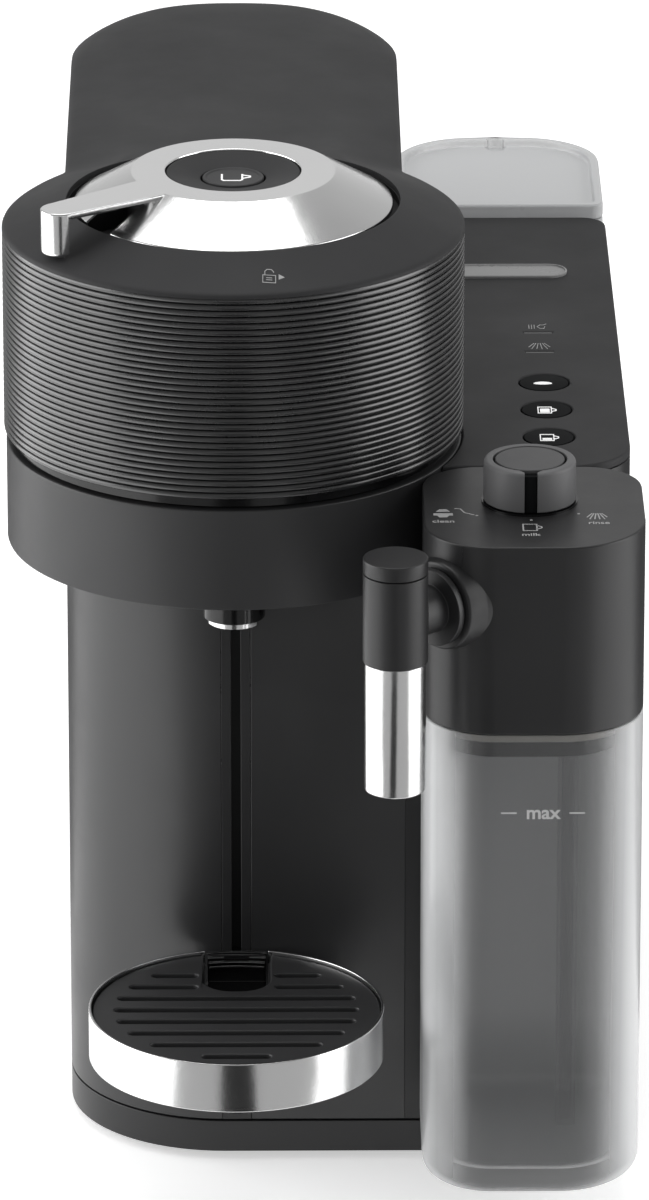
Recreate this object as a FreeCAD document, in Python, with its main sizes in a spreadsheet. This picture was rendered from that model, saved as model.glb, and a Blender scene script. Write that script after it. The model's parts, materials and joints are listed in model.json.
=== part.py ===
"""Pod coffee machine with a milk jug, as a parametric FreeCAD document.

Millimetres, +Z up.  The machine stands on z = 0 with the middle of its box over the origin.
The user stands on the -Y side and +X is to their right.
"""
import FreeCAD
import Part
import math
import os

import Sketcher

V = FreeCAD.Vector
TURN = 360.0
# Share of a diagonal length along each axis.
DIAGONAL = math.sqrt(0.5)
# How far a cutting tool runs past the face that it opens.
OVER = 1.0

# Driving dimensions: name, millimetres (or degrees), what it is.
# Sideways places are counted from the brewing axis, and places in depth from the front wall.
SIZES = [
    # brewing head
    ("drum_radius", 72.5, "ribbed drum of the head"),
    ("drum_y", 31.3, "brewing axis behind the front wall"),
    ("drum_high", 69.5, "head's underside to its sharp rim"),
    ("crown_rise", 7.5, "height of the crowned top above the rim"),
    ("rim_thick", 1.0, "rim that stands over the sleeve"),
    ("well_radius", 52.3, "well that the lever turns in"),
    ("well_floor_rise", 2.7, "floor of the well above the rim"),
    ("well_floor_thick", 3.0, "floor of the well"),
    ("sleeve_wall", 2.0, "ribbed sleeve round the drum"),
    ("sleeve_gap", 0.4, "sleeve above the floor plate"),
    ("sleeve_fit", 0.2, "between sleeve and drum wall"),
    ("head_gap", 0.8, "between the deck and the closed head"),
    ("head_floor_thick", 2.7, "head's floor plate"),
    ("tongue_overhang", 3.9, "cover's rear end behind the column"),
    ("tongue_rise", 5.0, "top of the cover above the rim"),
    ("tongue_round", 53.0, "rear corner radius of the cover"),
    ("tongue_fall", 20.0, "rounded upper rear edge of the cover"),
    ("hinge_inset", 22.0, "hinge axis before the cover's rear end"),
    ("hinge_rise", 21.3, "hinge axis above the deck"),
    ("hinge_round", 17.2, "rounded underside of the cover about the hinge"),
    ("barrel_radius", 16.5, "fixed barrel of the hinge"),
    ("barrel_half", 14.0, "half width of the fixed barrel"),
    ("saddle_front", 10.0, "foot of the barrel, before the axis"),
    ("saddle_back", 12.0, "foot of the barrel, behind the axis"),
    ("pin_radius", 3.0, "hinge pin"),
    ("pin_half", 26.0, "half length of the hinge pin"),
    ("knuckle_width", 10.0, "each moving knuckle"),
    ("knuckle_radius", 8.0, "each moving knuckle"),
    ("knuckle_web", 12.0, "web between knuckle and cover"),
    ("knuckle_gap", 1.5, "between knuckle and barrel"),
    ("running_fit", 0.05, "radial clearance of a shaft in its bore"),
    # lower part of the head and the housing
    ("wall", 2.5, "moulded housing walls"),
    ("drum_overhang", 0.7, "drum beyond the fixed lower part"),
    ("neck_high", 32.9, "fixed lower part of the head"),
    ("deck_thick", 3.0, "deck plate"),
    ("cup_clear", 2.5, "round the rim of the spinning cup"),
    ("column_half", 53.6, "half width of the column and of the cover"),
    ("joint_gap", 0.4, "joint of column and right side beyond the cover"),
    ("deck_wide", 70.6, "right side of the housing"),
    ("column_round", 50.0, "front left corner of the column"),
    ("back_round", 20.0, "rear corners of the column"),
    ("body_back", 247.6, "rear wall of the right side"),
    ("column_overhang", 14.4, "rear wall of the column behind that"),
    ("right_front_round", 20.0, "front right corner of the housing"),
    ("right_back_round", 8.0, "rear right corner of the housing"),
    ("feet_high", 3.0, "rubber feet"),
    ("foot_radius", 9.0, "rubber feet"),
    ("base_high", 10.7, "base above the feet"),
    ("column_high", 190.1, "base to the fixed lower part of the head"),
    ("seam", 0.6, "shadow gap between base and housing"),
    ("seam_deep", 1.2, "depth of that gap"),
    ("press_gap", 0.1, "round a piece that is fixed in a hole"),
    # rail, drip tray
    ("rail_x", 0.3, "middle of the height rail"),
    ("rail_width", 9.2, "height rail"),
    ("rail_deep", 8.0, "height rail"),
    ("rail_web", 1.5, "back of the height rail"),
    ("rail_end", 2.0, "closed ends of the rail's slot"),
    ("slot_half", 1.5, "half width of the rail's slot"),
    ("slot_head_half", 3.0, "half width of the slot behind its lips"),
    ("lip_deep", 3.0, "lips of the rail's slot"),
    ("slide_gap", 0.3, "clearance of sliding pieces"),
    ("tray_radius", 46.4, "drip tray with its band"),
    ("tray_low_z", 57.5, "lower edge of the drip tray"),
    ("tray_high", 16.1, "drip tray"),
    ("band_thick", 0.9, "metal band round the tray"),
    ("basin_wall", 2.0, "walls of the drip basin"),
    ("basin_raise", 0.5, "basin above the band's lower edge"),
    ("grid_drop", 1.2, "grid below the band's upper edge"),
    ("grid_thick", 2.6, "drip grid"),
    ("grid_slot", 3.4, "width of a drip slot"),
    ("grid_pitch", 9.2, "distance between drip slots"),
    ("grid_margin", 8.0, "ends of the drip slots from the tray's edge"),
    ("grid_bar", 2.2, "between the notch and the slots beside it"),
    ("notch_half", 10.0, "half width of the notch at the tray's rear"),
    ("notch_deep", 31.0, "depth of that notch"),
    ("notch_gap", 0.8, "carriage in the notch"),
    ("row_clear", 2.0, "least distance from the notch to a whole slot row"),
    ("carriage_arm", 3.7, "carriage's arm under the tray"),
    ("carriage_step", 6.0, "carriage's block in the notch"),
    ("carriage_back", 3.0, "carriage's upright plate"),
    ("key_below", 10.0, "carriage's key below the tray"),
    # capsule cup, motor and outlet
    ("cup_radius", 31.0, "capsule cup"),
    ("cup_rim", 2.5, "rim round the capsule cup"),
    ("cup_high", 27.4, "capsule cup"),
    ("cup_wall", 2.2, "capsule cup"),
    ("cup_drop", 0.3, "rim of the cup below the deck"),
    ("cup_taper", 11.0, "cup's bottom is narrower by this"),
    ("shaft_radius", 4.0, "motor shaft"),
    ("shaft_in_motor", 20.0, "motor shaft inside the motor"),
    ("bearing_radius", 9.0, "outside of the shaft's bearings"),
    ("bearing_high", 7.0, "shaft's bearings"),
    ("bearing_seat", 4.0, "wall round the bearings"),
    ("motor_radius", 20.0, "motor"),
    ("motor_high", 46.0, "motor"),
    ("motor_drop", 25.8, "motor's top below the fixed lower part"),
    ("outlet_reach", 59.3, "coffee outlet before the brewing axis"),
    ("outlet_radius", 8.25, "coffee outlet"),
    ("outlet_wall", 2.0, "coffee outlet"),
    ("outlet_drop", 7.8, "lip of the coffee outlet below the head"),
    ("collar_wall", 1.4, "collar round the outlet"),
    ("trough_wall", 2.0, "coffee trough"),
    ("trough_gap", 3.0, "trough beyond the cup's opening"),
    ("trough_high", 24.0, "coffee trough"),
    # lever and start button
    ("lever_rise", 17.0, "flat top of the lever above the rim"),
    ("lever_flat_radius", 31.8, "flat ring of the lever"),
    ("lever_skirt_radius", 50.1, "skirt of the lever"),
    ("lever_skirt_drop", 9.7, "where the skirt turns down, below the flat"),
    ("lever_bore", 21.2, "opening in the lever's middle"),
    ("lever_angle", 216.2, "direction of the arm, in degrees from +X"),
    ("arm_reach", 71.0, "tip of the arm from the axis"),
    ("arm_width", 14.0, "arm"),
    ("arm_thick", 2.6, "arm"),
    ("arm_round", 4.0, "corners of the arm's tip"),
    ("arm_hollow", 35.0, "where the skirt is cut away under the arm"),
    ("arm_hollow_side", 3.4, "cut-away beyond the middle of the arm"),
    ("tab_thick", 3.5, "turned-down tip of the arm"),
    ("tab_high", 14.4, "turned-down tip of the arm"),
    ("disc_radius", 20.9, "fixed disc in the lever's middle"),
    ("disc_drop", 0.4, "disc below the lever's flat"),
    ("disc_stem", 17.0, "hollow stem of the disc"),
    ("stem_wall", 3.0, "hollow stem of the disc"),
    ("disc_dip", 2.2, "dished middle of the disc below its edge"),
    ("disc_edge", 4.0, "edge of the disc"),
    ("pocket_deep", 9.0, "start button's pocket below the disc's edge"),
    ("button_travel_gap", 2.0, "under the start button"),
    ("button_proud", 0.4, "start button above the dished middle"),
    ("button_bevel", 1.0, "edge of the start button"),
    ("start_radius", 9.6, "start button"),
    ("seal_radius", 29.0, "seal plate over the capsule"),
    ("seal_flange", 4.0, "flange of the seal plate"),
    ("seal_thick", 2.0, "flange of the seal plate"),
    ("needle_radius", 1.6, "piercing pin"),
    ("needle_long", 8.0, "piercing pin"),
    ("lock_radius", 26.0, "tube of the lock ring"),
    ("lock_wall", 3.0, "tube of the lock ring"),
    ("lock_flange", 12.0, "flange of the lock ring"),
    ("lock_thick", 4.0, "flange of the lock ring"),
    ("lock_clear", 6.0, "lock ring above the floor plate"),
    # deck controls
    ("recipe_inset", 25.4, "recipe buttons from the right side"),
    ("recipe_y", 27.3, "first recipe button"),
    ("recipe_pitch", 26.0, "between recipe buttons"),
    ("recipe_radius", 7.85, "recipe buttons"),
    ("stem_radius", 2.0, "stem of a recipe button and post of the board"),
    ("stem_long", 7.0, "stem of a recipe button below the deck"),
    ("lens_inset", 25.85, "indicator lenses from the right side"),
    ("lens_y", 109.2, "first indicator lens"),
    ("lens_pitch", 19.3, "between indicator lenses"),
    ("lens_long", 9.1, "indicator lens"),
    ("lens_wide", 0.9, "indicator lens"),
    ("board_wide", 30.0, "circuit board"),
    ("board_front", 14.0, "circuit board"),
    ("board_back", 136.0, "circuit board"),
    ("board_drop", 9.0, "circuit board below the deck plate"),
    ("board_thick", 1.6, "circuit board"),
    # water tank
    ("tank_inset_left", 1.0, "tank inside the deck's left side"),
    ("tank_inset_right", 0.4, "tank inside the deck's right side"),
    ("tank_gap", 1.4, "tank behind the rear wall"),
    ("tank_deep", 75.0, "water tank"),
    ("tank_rim_drop", 1.7, "rim of the tank below the deck"),
    ("tank_wall", 2.0, "water tank"),
    ("tank_round", 26.0, "rear corners of the water tank"),
    ("tank_front_round", 4.0, "front corners of the water tank"),
    ("shelf_high", 17.0, "shelf that the tank stands on, above the feet"),
    ("tank_lid_high", 5.5, "tank's rim to the top of its lid"),
    ("tank_lid_rim", 3.0, "rim round the lid"),
    ("tank_lid_dish", 2.5, "lid's middle below its rim"),
    ("finger_radius", 3.0, "finger notch in the lid"),
    ("socket_radius", 14.0, "valve socket under the tank"),
    ("socket_deep", 9.0, "valve socket under the tank"),
    ("valve_radius", 5.0, "valve of the tank"),
    ("valve_long", 6.0, "valve below the tank"),
    # milk jug
    ("jug_clear", 0.67, "jug's inner corner from the drum"),
    ("tray_clear", 3.0, "least distance from the drip tray to the jug"),
    ("jug_wide", 68.3, "milk jug"),
    ("jug_front", -73.8, "milk jug"),
    ("jug_low_z", 19.8, "underside of the milk jug"),
    ("jug_lid_high", 61.7, "milk jug's lid"),
    ("jug_wall", 2.2, "milk jug's vessel"),
    ("jug_floor", 7.0, "floor of the milk jug's vessel"),
    ("jug_round_left", 22.0, "front left corner of the milk jug"),
    ("jug_round_right", 26.0, "front right corner of the milk jug"),
    ("jug_round_inner", 18.0, "rear left corner, which clears the head"),
    ("jug_round_back", 18.0, "rear right corner of the milk jug"),
    ("peg_radius", 3.0, "pegs that carry the milk jug"),
    ("peg_long", 7.0, "pegs that carry the milk jug"),
    ("peg_drop", 15.0, "pegs below the vessel's rim"),
    ("peg_side", 15.5, "pegs from the jug's sides"),
    ("ledge_skin", 2.5, "wall before the pegs' pockets"),
    ("ledge_below", 9.0, "thick band below the pegs"),
    ("ledge_above", 8.0, "thick band above the pegs"),
    ("knob_inset", 33.0, "froth knob from the jug's left side"),
    ("knob_behind", 42.3, "froth knob from the jug's front"),
    ("knob_radius", 14.4, "froth knob"),
    ("knob_rise", 14.1, "froth knob above the lid"),
    ("knob_shaft", 4.0, "froth knob's shaft"),
    ("knob_cap_radius", 11.4, "disc on the froth knob"),
    ("knob_cap_thick", 2.0, "disc on the froth knob"),
    ("knob_bevel", 1.6, "edge of the froth knob"),
    ("pointer_wide", 4.0, "pointer slot of the froth knob"),
    ("knob_ring_radius", 14.9, "ring under the knob"),
    ("knob_ring_high", 0.6, "ring under the knob"),
    ("nozzle_inset", 34.1, "steam nozzle from the jug's left side"),
    ("nozzle_drop", 31.7, "steam nozzle below the deck"),
    ("nozzle_radius", 7.0, "steam nozzle at the dock"),
    ("nozzle_bore", 2.5, "steam nozzle at the dock"),
    ("nozzle_long", 44.0, "steam nozzle at the dock"),
    ("nozzle_bore_share", 0.7, "drilled share of the steam nozzle's length"),
    ("nozzle_post", 8.0, "post that carries the steam nozzle"),
    ("insert_gap", 3.0, "lid's insert from the vessel's wall"),
    ("insert_deep", 9.0, "lid's insert in the vessel"),
    ("insert_wall", 2.5, "lid's insert"),
    ("suction_inset", 45.5, "suction tube from the jug's left side"),
    ("suction_behind", 33.8, "suction tube from the jug's front"),
    ("suction_radius", 3.2, "suction tube"),
    ("suction_bore", 2.0, "suction tube"),
    ("suction_lift", 4.0, "suction tube above the vessel's floor"),
    # milk spout
    ("spout_left", 15.6, "milk spout from the jug's corner"),
    ("spout_front", 14.1, "milk spout from the jug's corner"),
    ("spout_radius", 10.0, "milk spout"),
    ("spout_drop", 0.1, "milk spout's top below the deck"),
    ("spout_upper", 33.6, "dark upper part of the milk spout"),
    ("spout_cap_high", 4.6, "cap of the milk spout"),
    ("spout_groove", 0.4, "groove under the cap"),
    ("spout_tube_long", 42.0, "metal tube of the milk spout"),
    ("spout_tube_step", 0.5, "metal tube is thinner by this"),
    ("spout_tube_wall", 1.5, "metal tube of the milk spout"),
    ("swivel_drop", 20.7, "axis that the spout swings on, below the deck"),
    ("swivel_reach", 20.4, "spout's axis to the lid's corner"),
    ("swivel_radius", 14.5, "boss that the spout swings in"),
    ("swivel_neck", 7.5, "neck between spout and boss"),
    ("swivel_bore", 6.5, "bore that the spout's hub turns in"),
    ("hub_inside", 12.0, "hub inside the lid"),
    ("flare_thick", 2.4, "disc on the spout's neck"),
    # capsule bin
    ("bin_half", 33.0, "capsule bin"),
    ("bin_deep", 104.0, "capsule bin"),
    ("bin_wall", 2.0, "capsule bin"),
    ("bin_drop", 15.8, "bin's rim below the fixed lower part of the head"),
    ("bin_round", 6.0, "corners of the capsule bin"),
    ("bin_gap", 0.5, "round the capsule bin"),
    ("grip_half", 18.0, "finger cut in the bin's face"),
    ("grip_high", 14.0, "finger cut in the bin's face"),
    # screws, feet and inside
    ("plate_left", 25.0, "fixing plate's left end, left of the brewing axis"),
    ("plate_front", 60.0, "fixing plate behind the front wall"),
    ("screw_left", 10.0, "screws from the fixing plate's left end"),
    ("screw_right", 12.0, "screws from the fixing plate's right end"),
    ("screw_end", 15.0, "screws from the fixing plate's front and rear"),
    ("screw_middle", 145.0, "middle screws behind the front wall"),
    ("foot_left", 22.0, "front left foot, left of the brewing axis"),
    ("foot_left_front", 30.0, "front left foot behind the front wall"),
    ("foot_right", 20.6, "right feet from the right side"),
    ("foot_right_front", 22.0, "front right foot behind the front wall"),
    ("foot_column", 18.0, "rear left foot from the column's side"),
    ("foot_column_back", 26.0, "rear left foot before the column's rear"),
    ("foot_body_back", 18.0, "rear right foot before the rear wall"),
    ("foot_tank_back", 20.0, "foot under the tank before the tank's rear"),
    ("spine_thick", 2.8, "inner frame's upright plate"),
    ("floor_thick", 3.0, "inner frame's plates"),
    ("bracket_thick", 4.0, "motor's bracket"),
    ("shelf_left_rise", 46.3, "inner frame's left shelf above the base"),
    ("shelf_right_drop", 57.8, "inner frame's right shelf below the head"),
    ("shelf_left_front", 62.0, "left shelf behind the front wall"),
    ("shelf_right_front", 25.0, "right shelf behind the front wall"),
    ("shelf_back", 25.6, "shelves end before the rear wall"),
    ("foot_back", 22.6, "fixing plate ends before the rear wall"),
    ("foot_side", 12.6, "fixing plate ends before the right side"),
    ("works_left", 42.0, "water heater's left side, left of the brewing axis"),
    ("works_front", 70.0, "water heater behind the front wall"),
    ("heater_wide", 36.0, "water heater"),
    ("heater_deep", 70.0, "water heater"),
    ("heater_high", 42.0, "water heater"),
    ("heater_round", 6.0, "corners of both heaters"),
    ("steam_left", 72.0, "steam heater's left side, right of the brewing axis"),
    ("steam_front", 34.0, "steam heater behind the front wall"),
    ("steam_wide", 42.0, "steam heater"),
    ("steam_deep", 60.0, "steam heater"),
    ("steam_high", 34.0, "steam heater"),
    ("pump_wide", 34.0, "pump's coil"),
    ("pump_right", 25.0, "pump's axis, right of the brewing axis"),
    ("pump_behind", 4.0, "pump's front behind the water heater's front"),
    ("pump_coil", 44.0, "length of the pump's coil"),
    ("pump_barrel", 28.0, "length of the pump's barrel"),
    ("pump_barrel_share", 0.65, "pump's barrel, as a share of the coil's half width"),
    ("pump_outlet_half", 6.0, "half width of the pump's outlet block"),
    ("pump_mount", 5.0, "rubber under the pump"),
    ("mount_inset", 2.0, "pump's rubbers inside its sides"),
    ("mount_deep", 10.0, "pump's rubbers"),
    ("mount_pitch", 52.0, "between the pump's rubbers"),
    ("hose_radius", 4.0, "water hoses"),
    ("meter_radius", 14.0, "flow meter"),
    ("meter_high", 16.0, "flow meter"),
    ("meter_right", 18.0, "flow meter from the steam heater's left side"),
    ("meter_behind", 46.0, "flow meter behind the steam heater"),
    ("supply_inset", 20.0, "rising hose before the fixing plate's rear end"),
    ("gland_x", -30.0, "mains lead's gland"),
    ("gland_rise", 20.3, "mains lead's gland above the base"),
    ("gland_bore", 3.6, "mains lead's gland"),
    ("gland_radius", 7.0, "mains lead's gland"),
    ("gland_long", 8.0, "mains lead's gland"),
    ("gland_flange", 2.0, "mains lead's gland"),
    ("screw_radius", 2.0, "fixing screws"),
    ("screw_head_radius", 3.8, "fixing screws"),
    ("screw_head_high", 2.5, "fixing screws"),
    ("screw_long", 14.0, "fixing screws"),
    ("screw_sunk", 1.0, "heads of the fixing screws inside the base"),
]


class Dim:
    """A length: its value, and the expression that gives it from the size sheet."""

    def __init__(self, value, text):
        self.value = float(value)
        self.text = text

    def __add__(self, other):
        other = dim(other)
        return Dim(self.value + other.value, f"({self.text} + {other.text})")

    def __radd__(self, other):
        return dim(other) + self

    def __sub__(self, other):
        other = dim(other)
        return Dim(self.value - other.value, f"({self.text} - {other.text})")

    def __rsub__(self, other):
        return dim(other) - self

    def __mul__(self, other):
        other = dim(other)
        return Dim(self.value * other.value, f"({self.text} * {other.text})")

    __rmul__ = __mul__

    def __truediv__(self, other):
        other = dim(other)
        return Dim(self.value / other.value, f"({self.text} / {other.text})")

    def __neg__(self):
        return Dim(0, "0") - self


def dim(value):
    """A Dim from a Dim or a plain number."""
    return value if isinstance(value, Dim) else Dim(value, f"{float(value):.6g}")


def root(value):
    """Square root of a Dim."""
    return Dim(math.sqrt(value.value), f"sqrt({value.text})")


def larger(first, second):
    """The larger of two lengths."""
    first, second = dim(first), dim(second)
    return Dim(max(first.value, second.value), f"max({first.text}; {second.text})")


class Sizes:
    """The size sheet: S.name is the Dim of that cell."""

    def __init__(self, doc, rows):
        self.values = {name: value for name, value, _ in rows}
        sheet = doc.addObject("Spreadsheet::Sheet", "Sizes")
        for row, (name, value, note) in enumerate(rows, start=1):
            sheet.set(f"A{row}", name)
            sheet.set(f"B{row}", f"{value:g}")
            sheet.set(f"C{row}", note)
            sheet.setAlias(f"B{row}", name)

    def __getattr__(self, name):
        return Dim(self.values[name], f"Sizes.{name}")


doc = FreeCAD.newDocument("pod_coffee_machine")
S = Sizes(doc, SIZES)
doc.recompute()
parts = {}

# Heights, each built on the one below it.
S.base_top_z = S.feet_high + S.base_high
S.neck_low_z = S.base_top_z + S.column_high
S.deck_z = S.neck_low_z + S.neck_high
S.head_low_z = S.deck_z + S.head_gap
S.head_floor_top_z = S.head_low_z + S.head_floor_thick
S.sleeve_low_z = S.head_floor_top_z + S.sleeve_gap
S.drum_rim_z = S.head_low_z + S.drum_high
S.well_floor_z = S.drum_rim_z + S.well_floor_rise
S.tongue_top_z = S.drum_rim_z + S.tongue_rise
S.lever_top_z = S.drum_rim_z + S.lever_rise
S.lever_skirt_z = S.lever_top_z - S.lever_skirt_drop
S.hinge_z = S.deck_z + S.hinge_rise
S.cup_top_z = S.deck_z - S.cup_drop
S.cup_low_z = S.cup_top_z - S.cup_high
S.motor_top_z = S.neck_low_z - S.motor_drop
S.outlet_low_z = S.neck_low_z - S.outlet_drop
S.tray_top_z = S.tray_low_z + S.tray_high
S.grid_top_z = S.tray_top_z - S.grid_drop
S.shelf_z = S.feet_high + S.shelf_high
S.tank_low_z = S.shelf_z + S.slide_gap
S.tank_rim_z = S.deck_z - S.tank_rim_drop
S.tank_lid_z = S.tank_rim_z + S.tank_lid_high
S.socket_low_z = S.shelf_z - S.socket_deep
S.jug_rim_z = S.deck_z - S.jug_lid_high
S.peg_z = S.jug_rim_z - S.peg_drop
S.nozzle_z = S.deck_z - S.nozzle_drop
S.knob_top_z = S.deck_z + S.knob_rise
S.spout_top_z = S.deck_z - S.spout_drop
S.spout_seam_z = S.spout_top_z - S.spout_upper
S.spout_low_z = S.spout_seam_z - S.spout_tube_long
S.swivel_z = S.deck_z - S.swivel_drop
S.shelf_left_z = S.base_top_z + S.shelf_left_rise
S.shelf_right_z = S.neck_low_z - S.shelf_right_drop
S.bin_low_z = S.shelf_left_z + S.floor_thick + S.bin_gap
S.bin_top_z = S.neck_low_z - S.bin_drop
S.gland_z = S.base_top_z + S.gland_rise

# Places in plan, from the brewing axis and from the front wall.
S.neck_radius = S.drum_radius - S.drum_overhang
S.drum_skin_radius = S.drum_radius - S.sleeve_wall - S.sleeve_fit
S.cup_rim_radius = S.cup_radius + S.cup_rim
S.cup_hole_radius = S.cup_rim_radius + S.cup_clear
S.column_right = S.column_half + S.joint_gap
S.right_side = S.column_right + S.deck_wide
S.column_back = S.body_back + S.column_overhang
S.tongue_back = S.column_back + S.tongue_overhang
S.hinge_y = S.tongue_back - S.hinge_inset
S.outlet_y = S.drum_y - S.outlet_reach
S.recipe_x = S.right_side - S.recipe_inset
S.lens_x = S.right_side - S.lens_inset
S.tank_left = S.column_right + S.tank_inset_left
S.tank_right = S.right_side - S.tank_inset_right
S.tank_front = S.body_back + S.tank_gap
S.tank_back = S.tank_front + S.tank_deep
S.bin_front = S.column_back - S.bin_deep
# The jug's inner corner is an arc beside the drum's circle.
corner_to_axis = S.drum_radius + S.jug_clear + S.jug_round_inner
corner_behind = S.drum_y + S.slide_gap + S.jug_round_inner
beside_drum = root(corner_to_axis * corner_to_axis - corner_behind * corner_behind) - S.jug_round_inner
beside_tray = S.rail_x + S.tray_radius + S.tray_clear
S.jug_left = larger(beside_drum, beside_tray)
S.jug_right = S.jug_left + S.jug_wide
S.knob_x = S.jug_left + S.knob_inset
S.knob_y = S.jug_front + S.knob_behind
S.nozzle_x = S.jug_left + S.nozzle_inset
corner_inset = S.jug_round_left * (1 - DIAGONAL)
S.spout_x = S.jug_left + corner_inset - S.spout_left
S.spout_y = S.jug_front + corner_inset - S.spout_front

# The origin is under the middle of the whole machine's box.
BREW_X = (S.drum_radius - larger(S.jug_right, S.right_side)) / 2
FRONT_Y = (larger(S.tray_radius * 2 + S.slide_gap, S.jug_front * -1) - S.tank_back) / 2
DRUM_Y = S.drum_y + FRONT_Y


def at_x(offset):
    """Row X of a place counted from the brewing axis."""
    return BREW_X + offset


def at_y(offset):
    """Row Y of a place counted from the front wall."""
    return FRONT_Y + offset


# Places that several sub-parts share.
FOOT_PLATE_LEFT, FOOT_PLATE_FRONT = at_x(-S.plate_left), at_y(S.plate_front)
FOOT_PLATE_RIGHT, FOOT_PLATE_BACK = at_x(S.right_side - S.foot_side), at_y(S.body_back - S.foot_back)
SCREWS = [(x, y) for x in (FOOT_PLATE_LEFT + S.screw_left, FOOT_PLATE_RIGHT - S.screw_right)
          for y in (FOOT_PLATE_FRONT + S.screw_end, at_y(S.screw_middle), FOOT_PLATE_BACK - S.screw_end)]
RIGHT_FEET_X = at_x(S.right_side - S.foot_right)
FEET = [(at_x(-S.foot_left), at_y(S.foot_left_front)),
        (RIGHT_FEET_X, at_y(S.foot_right_front)),
        (at_x(S.foot_column - S.column_half), at_y(S.column_back - S.foot_column_back)),
        (RIGHT_FEET_X, at_y(S.body_back - S.foot_body_back)),
        (RIGHT_FEET_X, at_y(S.tank_back - S.foot_tank_back))]
TANK_VALVE = (at_x((S.tank_left + S.tank_right) / 2), at_y((S.tank_front + S.tank_back) / 2))
PEGS = [at_x(S.jug_left + S.peg_side), at_x(S.jug_right - S.peg_side)]
RECIPE_Y = [at_y(S.recipe_y) + S.recipe_pitch * number for number in range(3)]
LENS_Y = [at_y(S.lens_y) + S.lens_pitch * number for number in range(2)]
SPOUT = (at_x(S.spout_x), at_y(S.spout_y))
SWIVEL = (SPOUT[0] + S.swivel_reach * DIAGONAL, SPOUT[1] + S.swivel_reach * DIAGONAL)


def bind(obj, prop, value):
    """Ties a property to its expression."""
    obj.setExpression(prop, dim(value).text)


def place(obj, x, y, z, axis=None, angle=0):
    """Puts an object at a bound place, turned by an angle in degrees about an axis."""
    if axis is not None:
        obj.Placement = FreeCAD.Placement(V(0, 0, 0), FreeCAD.Rotation(V(*axis), dim(angle).value))
        bind(obj, "Placement.Rotation.Angle", angle)
    for prop, value in zip("xyz", (x, y, z)):
        bind(obj, f"Placement.Base.{prop}", value)
    return obj


def keep(label, obj):
    """Names an object as a finished sub-part."""
    obj.Label = label
    parts[label] = obj
    return obj


def box(x0, x1, y0, y1, z0, z1):
    """A plain block between two corners."""
    block = doc.addObject("Part::Box", "Block")
    for prop, low, high in (("Length", x0, x1), ("Width", y0, y1), ("Height", z0, z1)):
        bind(block, prop, dim(high) - low)
    return place(block, x0, y0, z0)


def rod(x, y, z, radius, length, axis="z"):
    """A round bar from a point along +X, +Y or +Z."""
    bar = doc.addObject("Part::Cylinder", "Rod")
    bind(bar, "Radius", radius)
    bind(bar, "Height", length)
    turns = {"z": (None, 0), "x": ((0, 1, 0), 90), "y": ((1, 0, 0), -90)}
    return place(bar, x, y, z, *turns[axis])


def fuse(*shapes):
    """All shapes joined to one."""
    joined = doc.addObject("Part::MultiFuse", "Joined")
    joined.Shapes = list(shapes)
    return joined


def group(*shapes):
    """Separate solids that share one node."""
    several = doc.addObject("Part::Compound", "Group")
    several.Links = list(shapes)
    return several


def cut(base, *tools):
    """The base without the tools."""
    result = doc.addObject("Part::Cut", "Cut")
    result.Base = base
    result.Tool = tools[0] if len(tools) == 1 else fuse(*tools)
    return result


def common(first, second):
    """What two shapes share."""
    shared = doc.addObject("Part::MultiCommon", "Common")
    shared.Shapes = [first, second]
    return shared


def origin_plane(body, role):
    """One of a body's own origin planes."""
    return next(feature for feature in body.Origin.OriginFeatures if feature.Role == role)


def new_sketch(role):
    """A new body with an empty sketch on one of its planes."""
    body = doc.addObject("PartDesign::Body", "Body")
    sketch = body.newObject("Sketcher::SketchObject", "Sketch")
    sketch.AttachmentSupport = (origin_plane(body, role), [""])
    sketch.MapMode = "FlatFace"
    return body, sketch


def bound_constraint(sketch, *arguments, value):
    """A dimension of a sketch, tied to its expression."""
    index = sketch.addConstraint(Sketcher.Constraint(*arguments, dim(value).value))
    bind(sketch, f"Constraints[{index}]", value)


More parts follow.
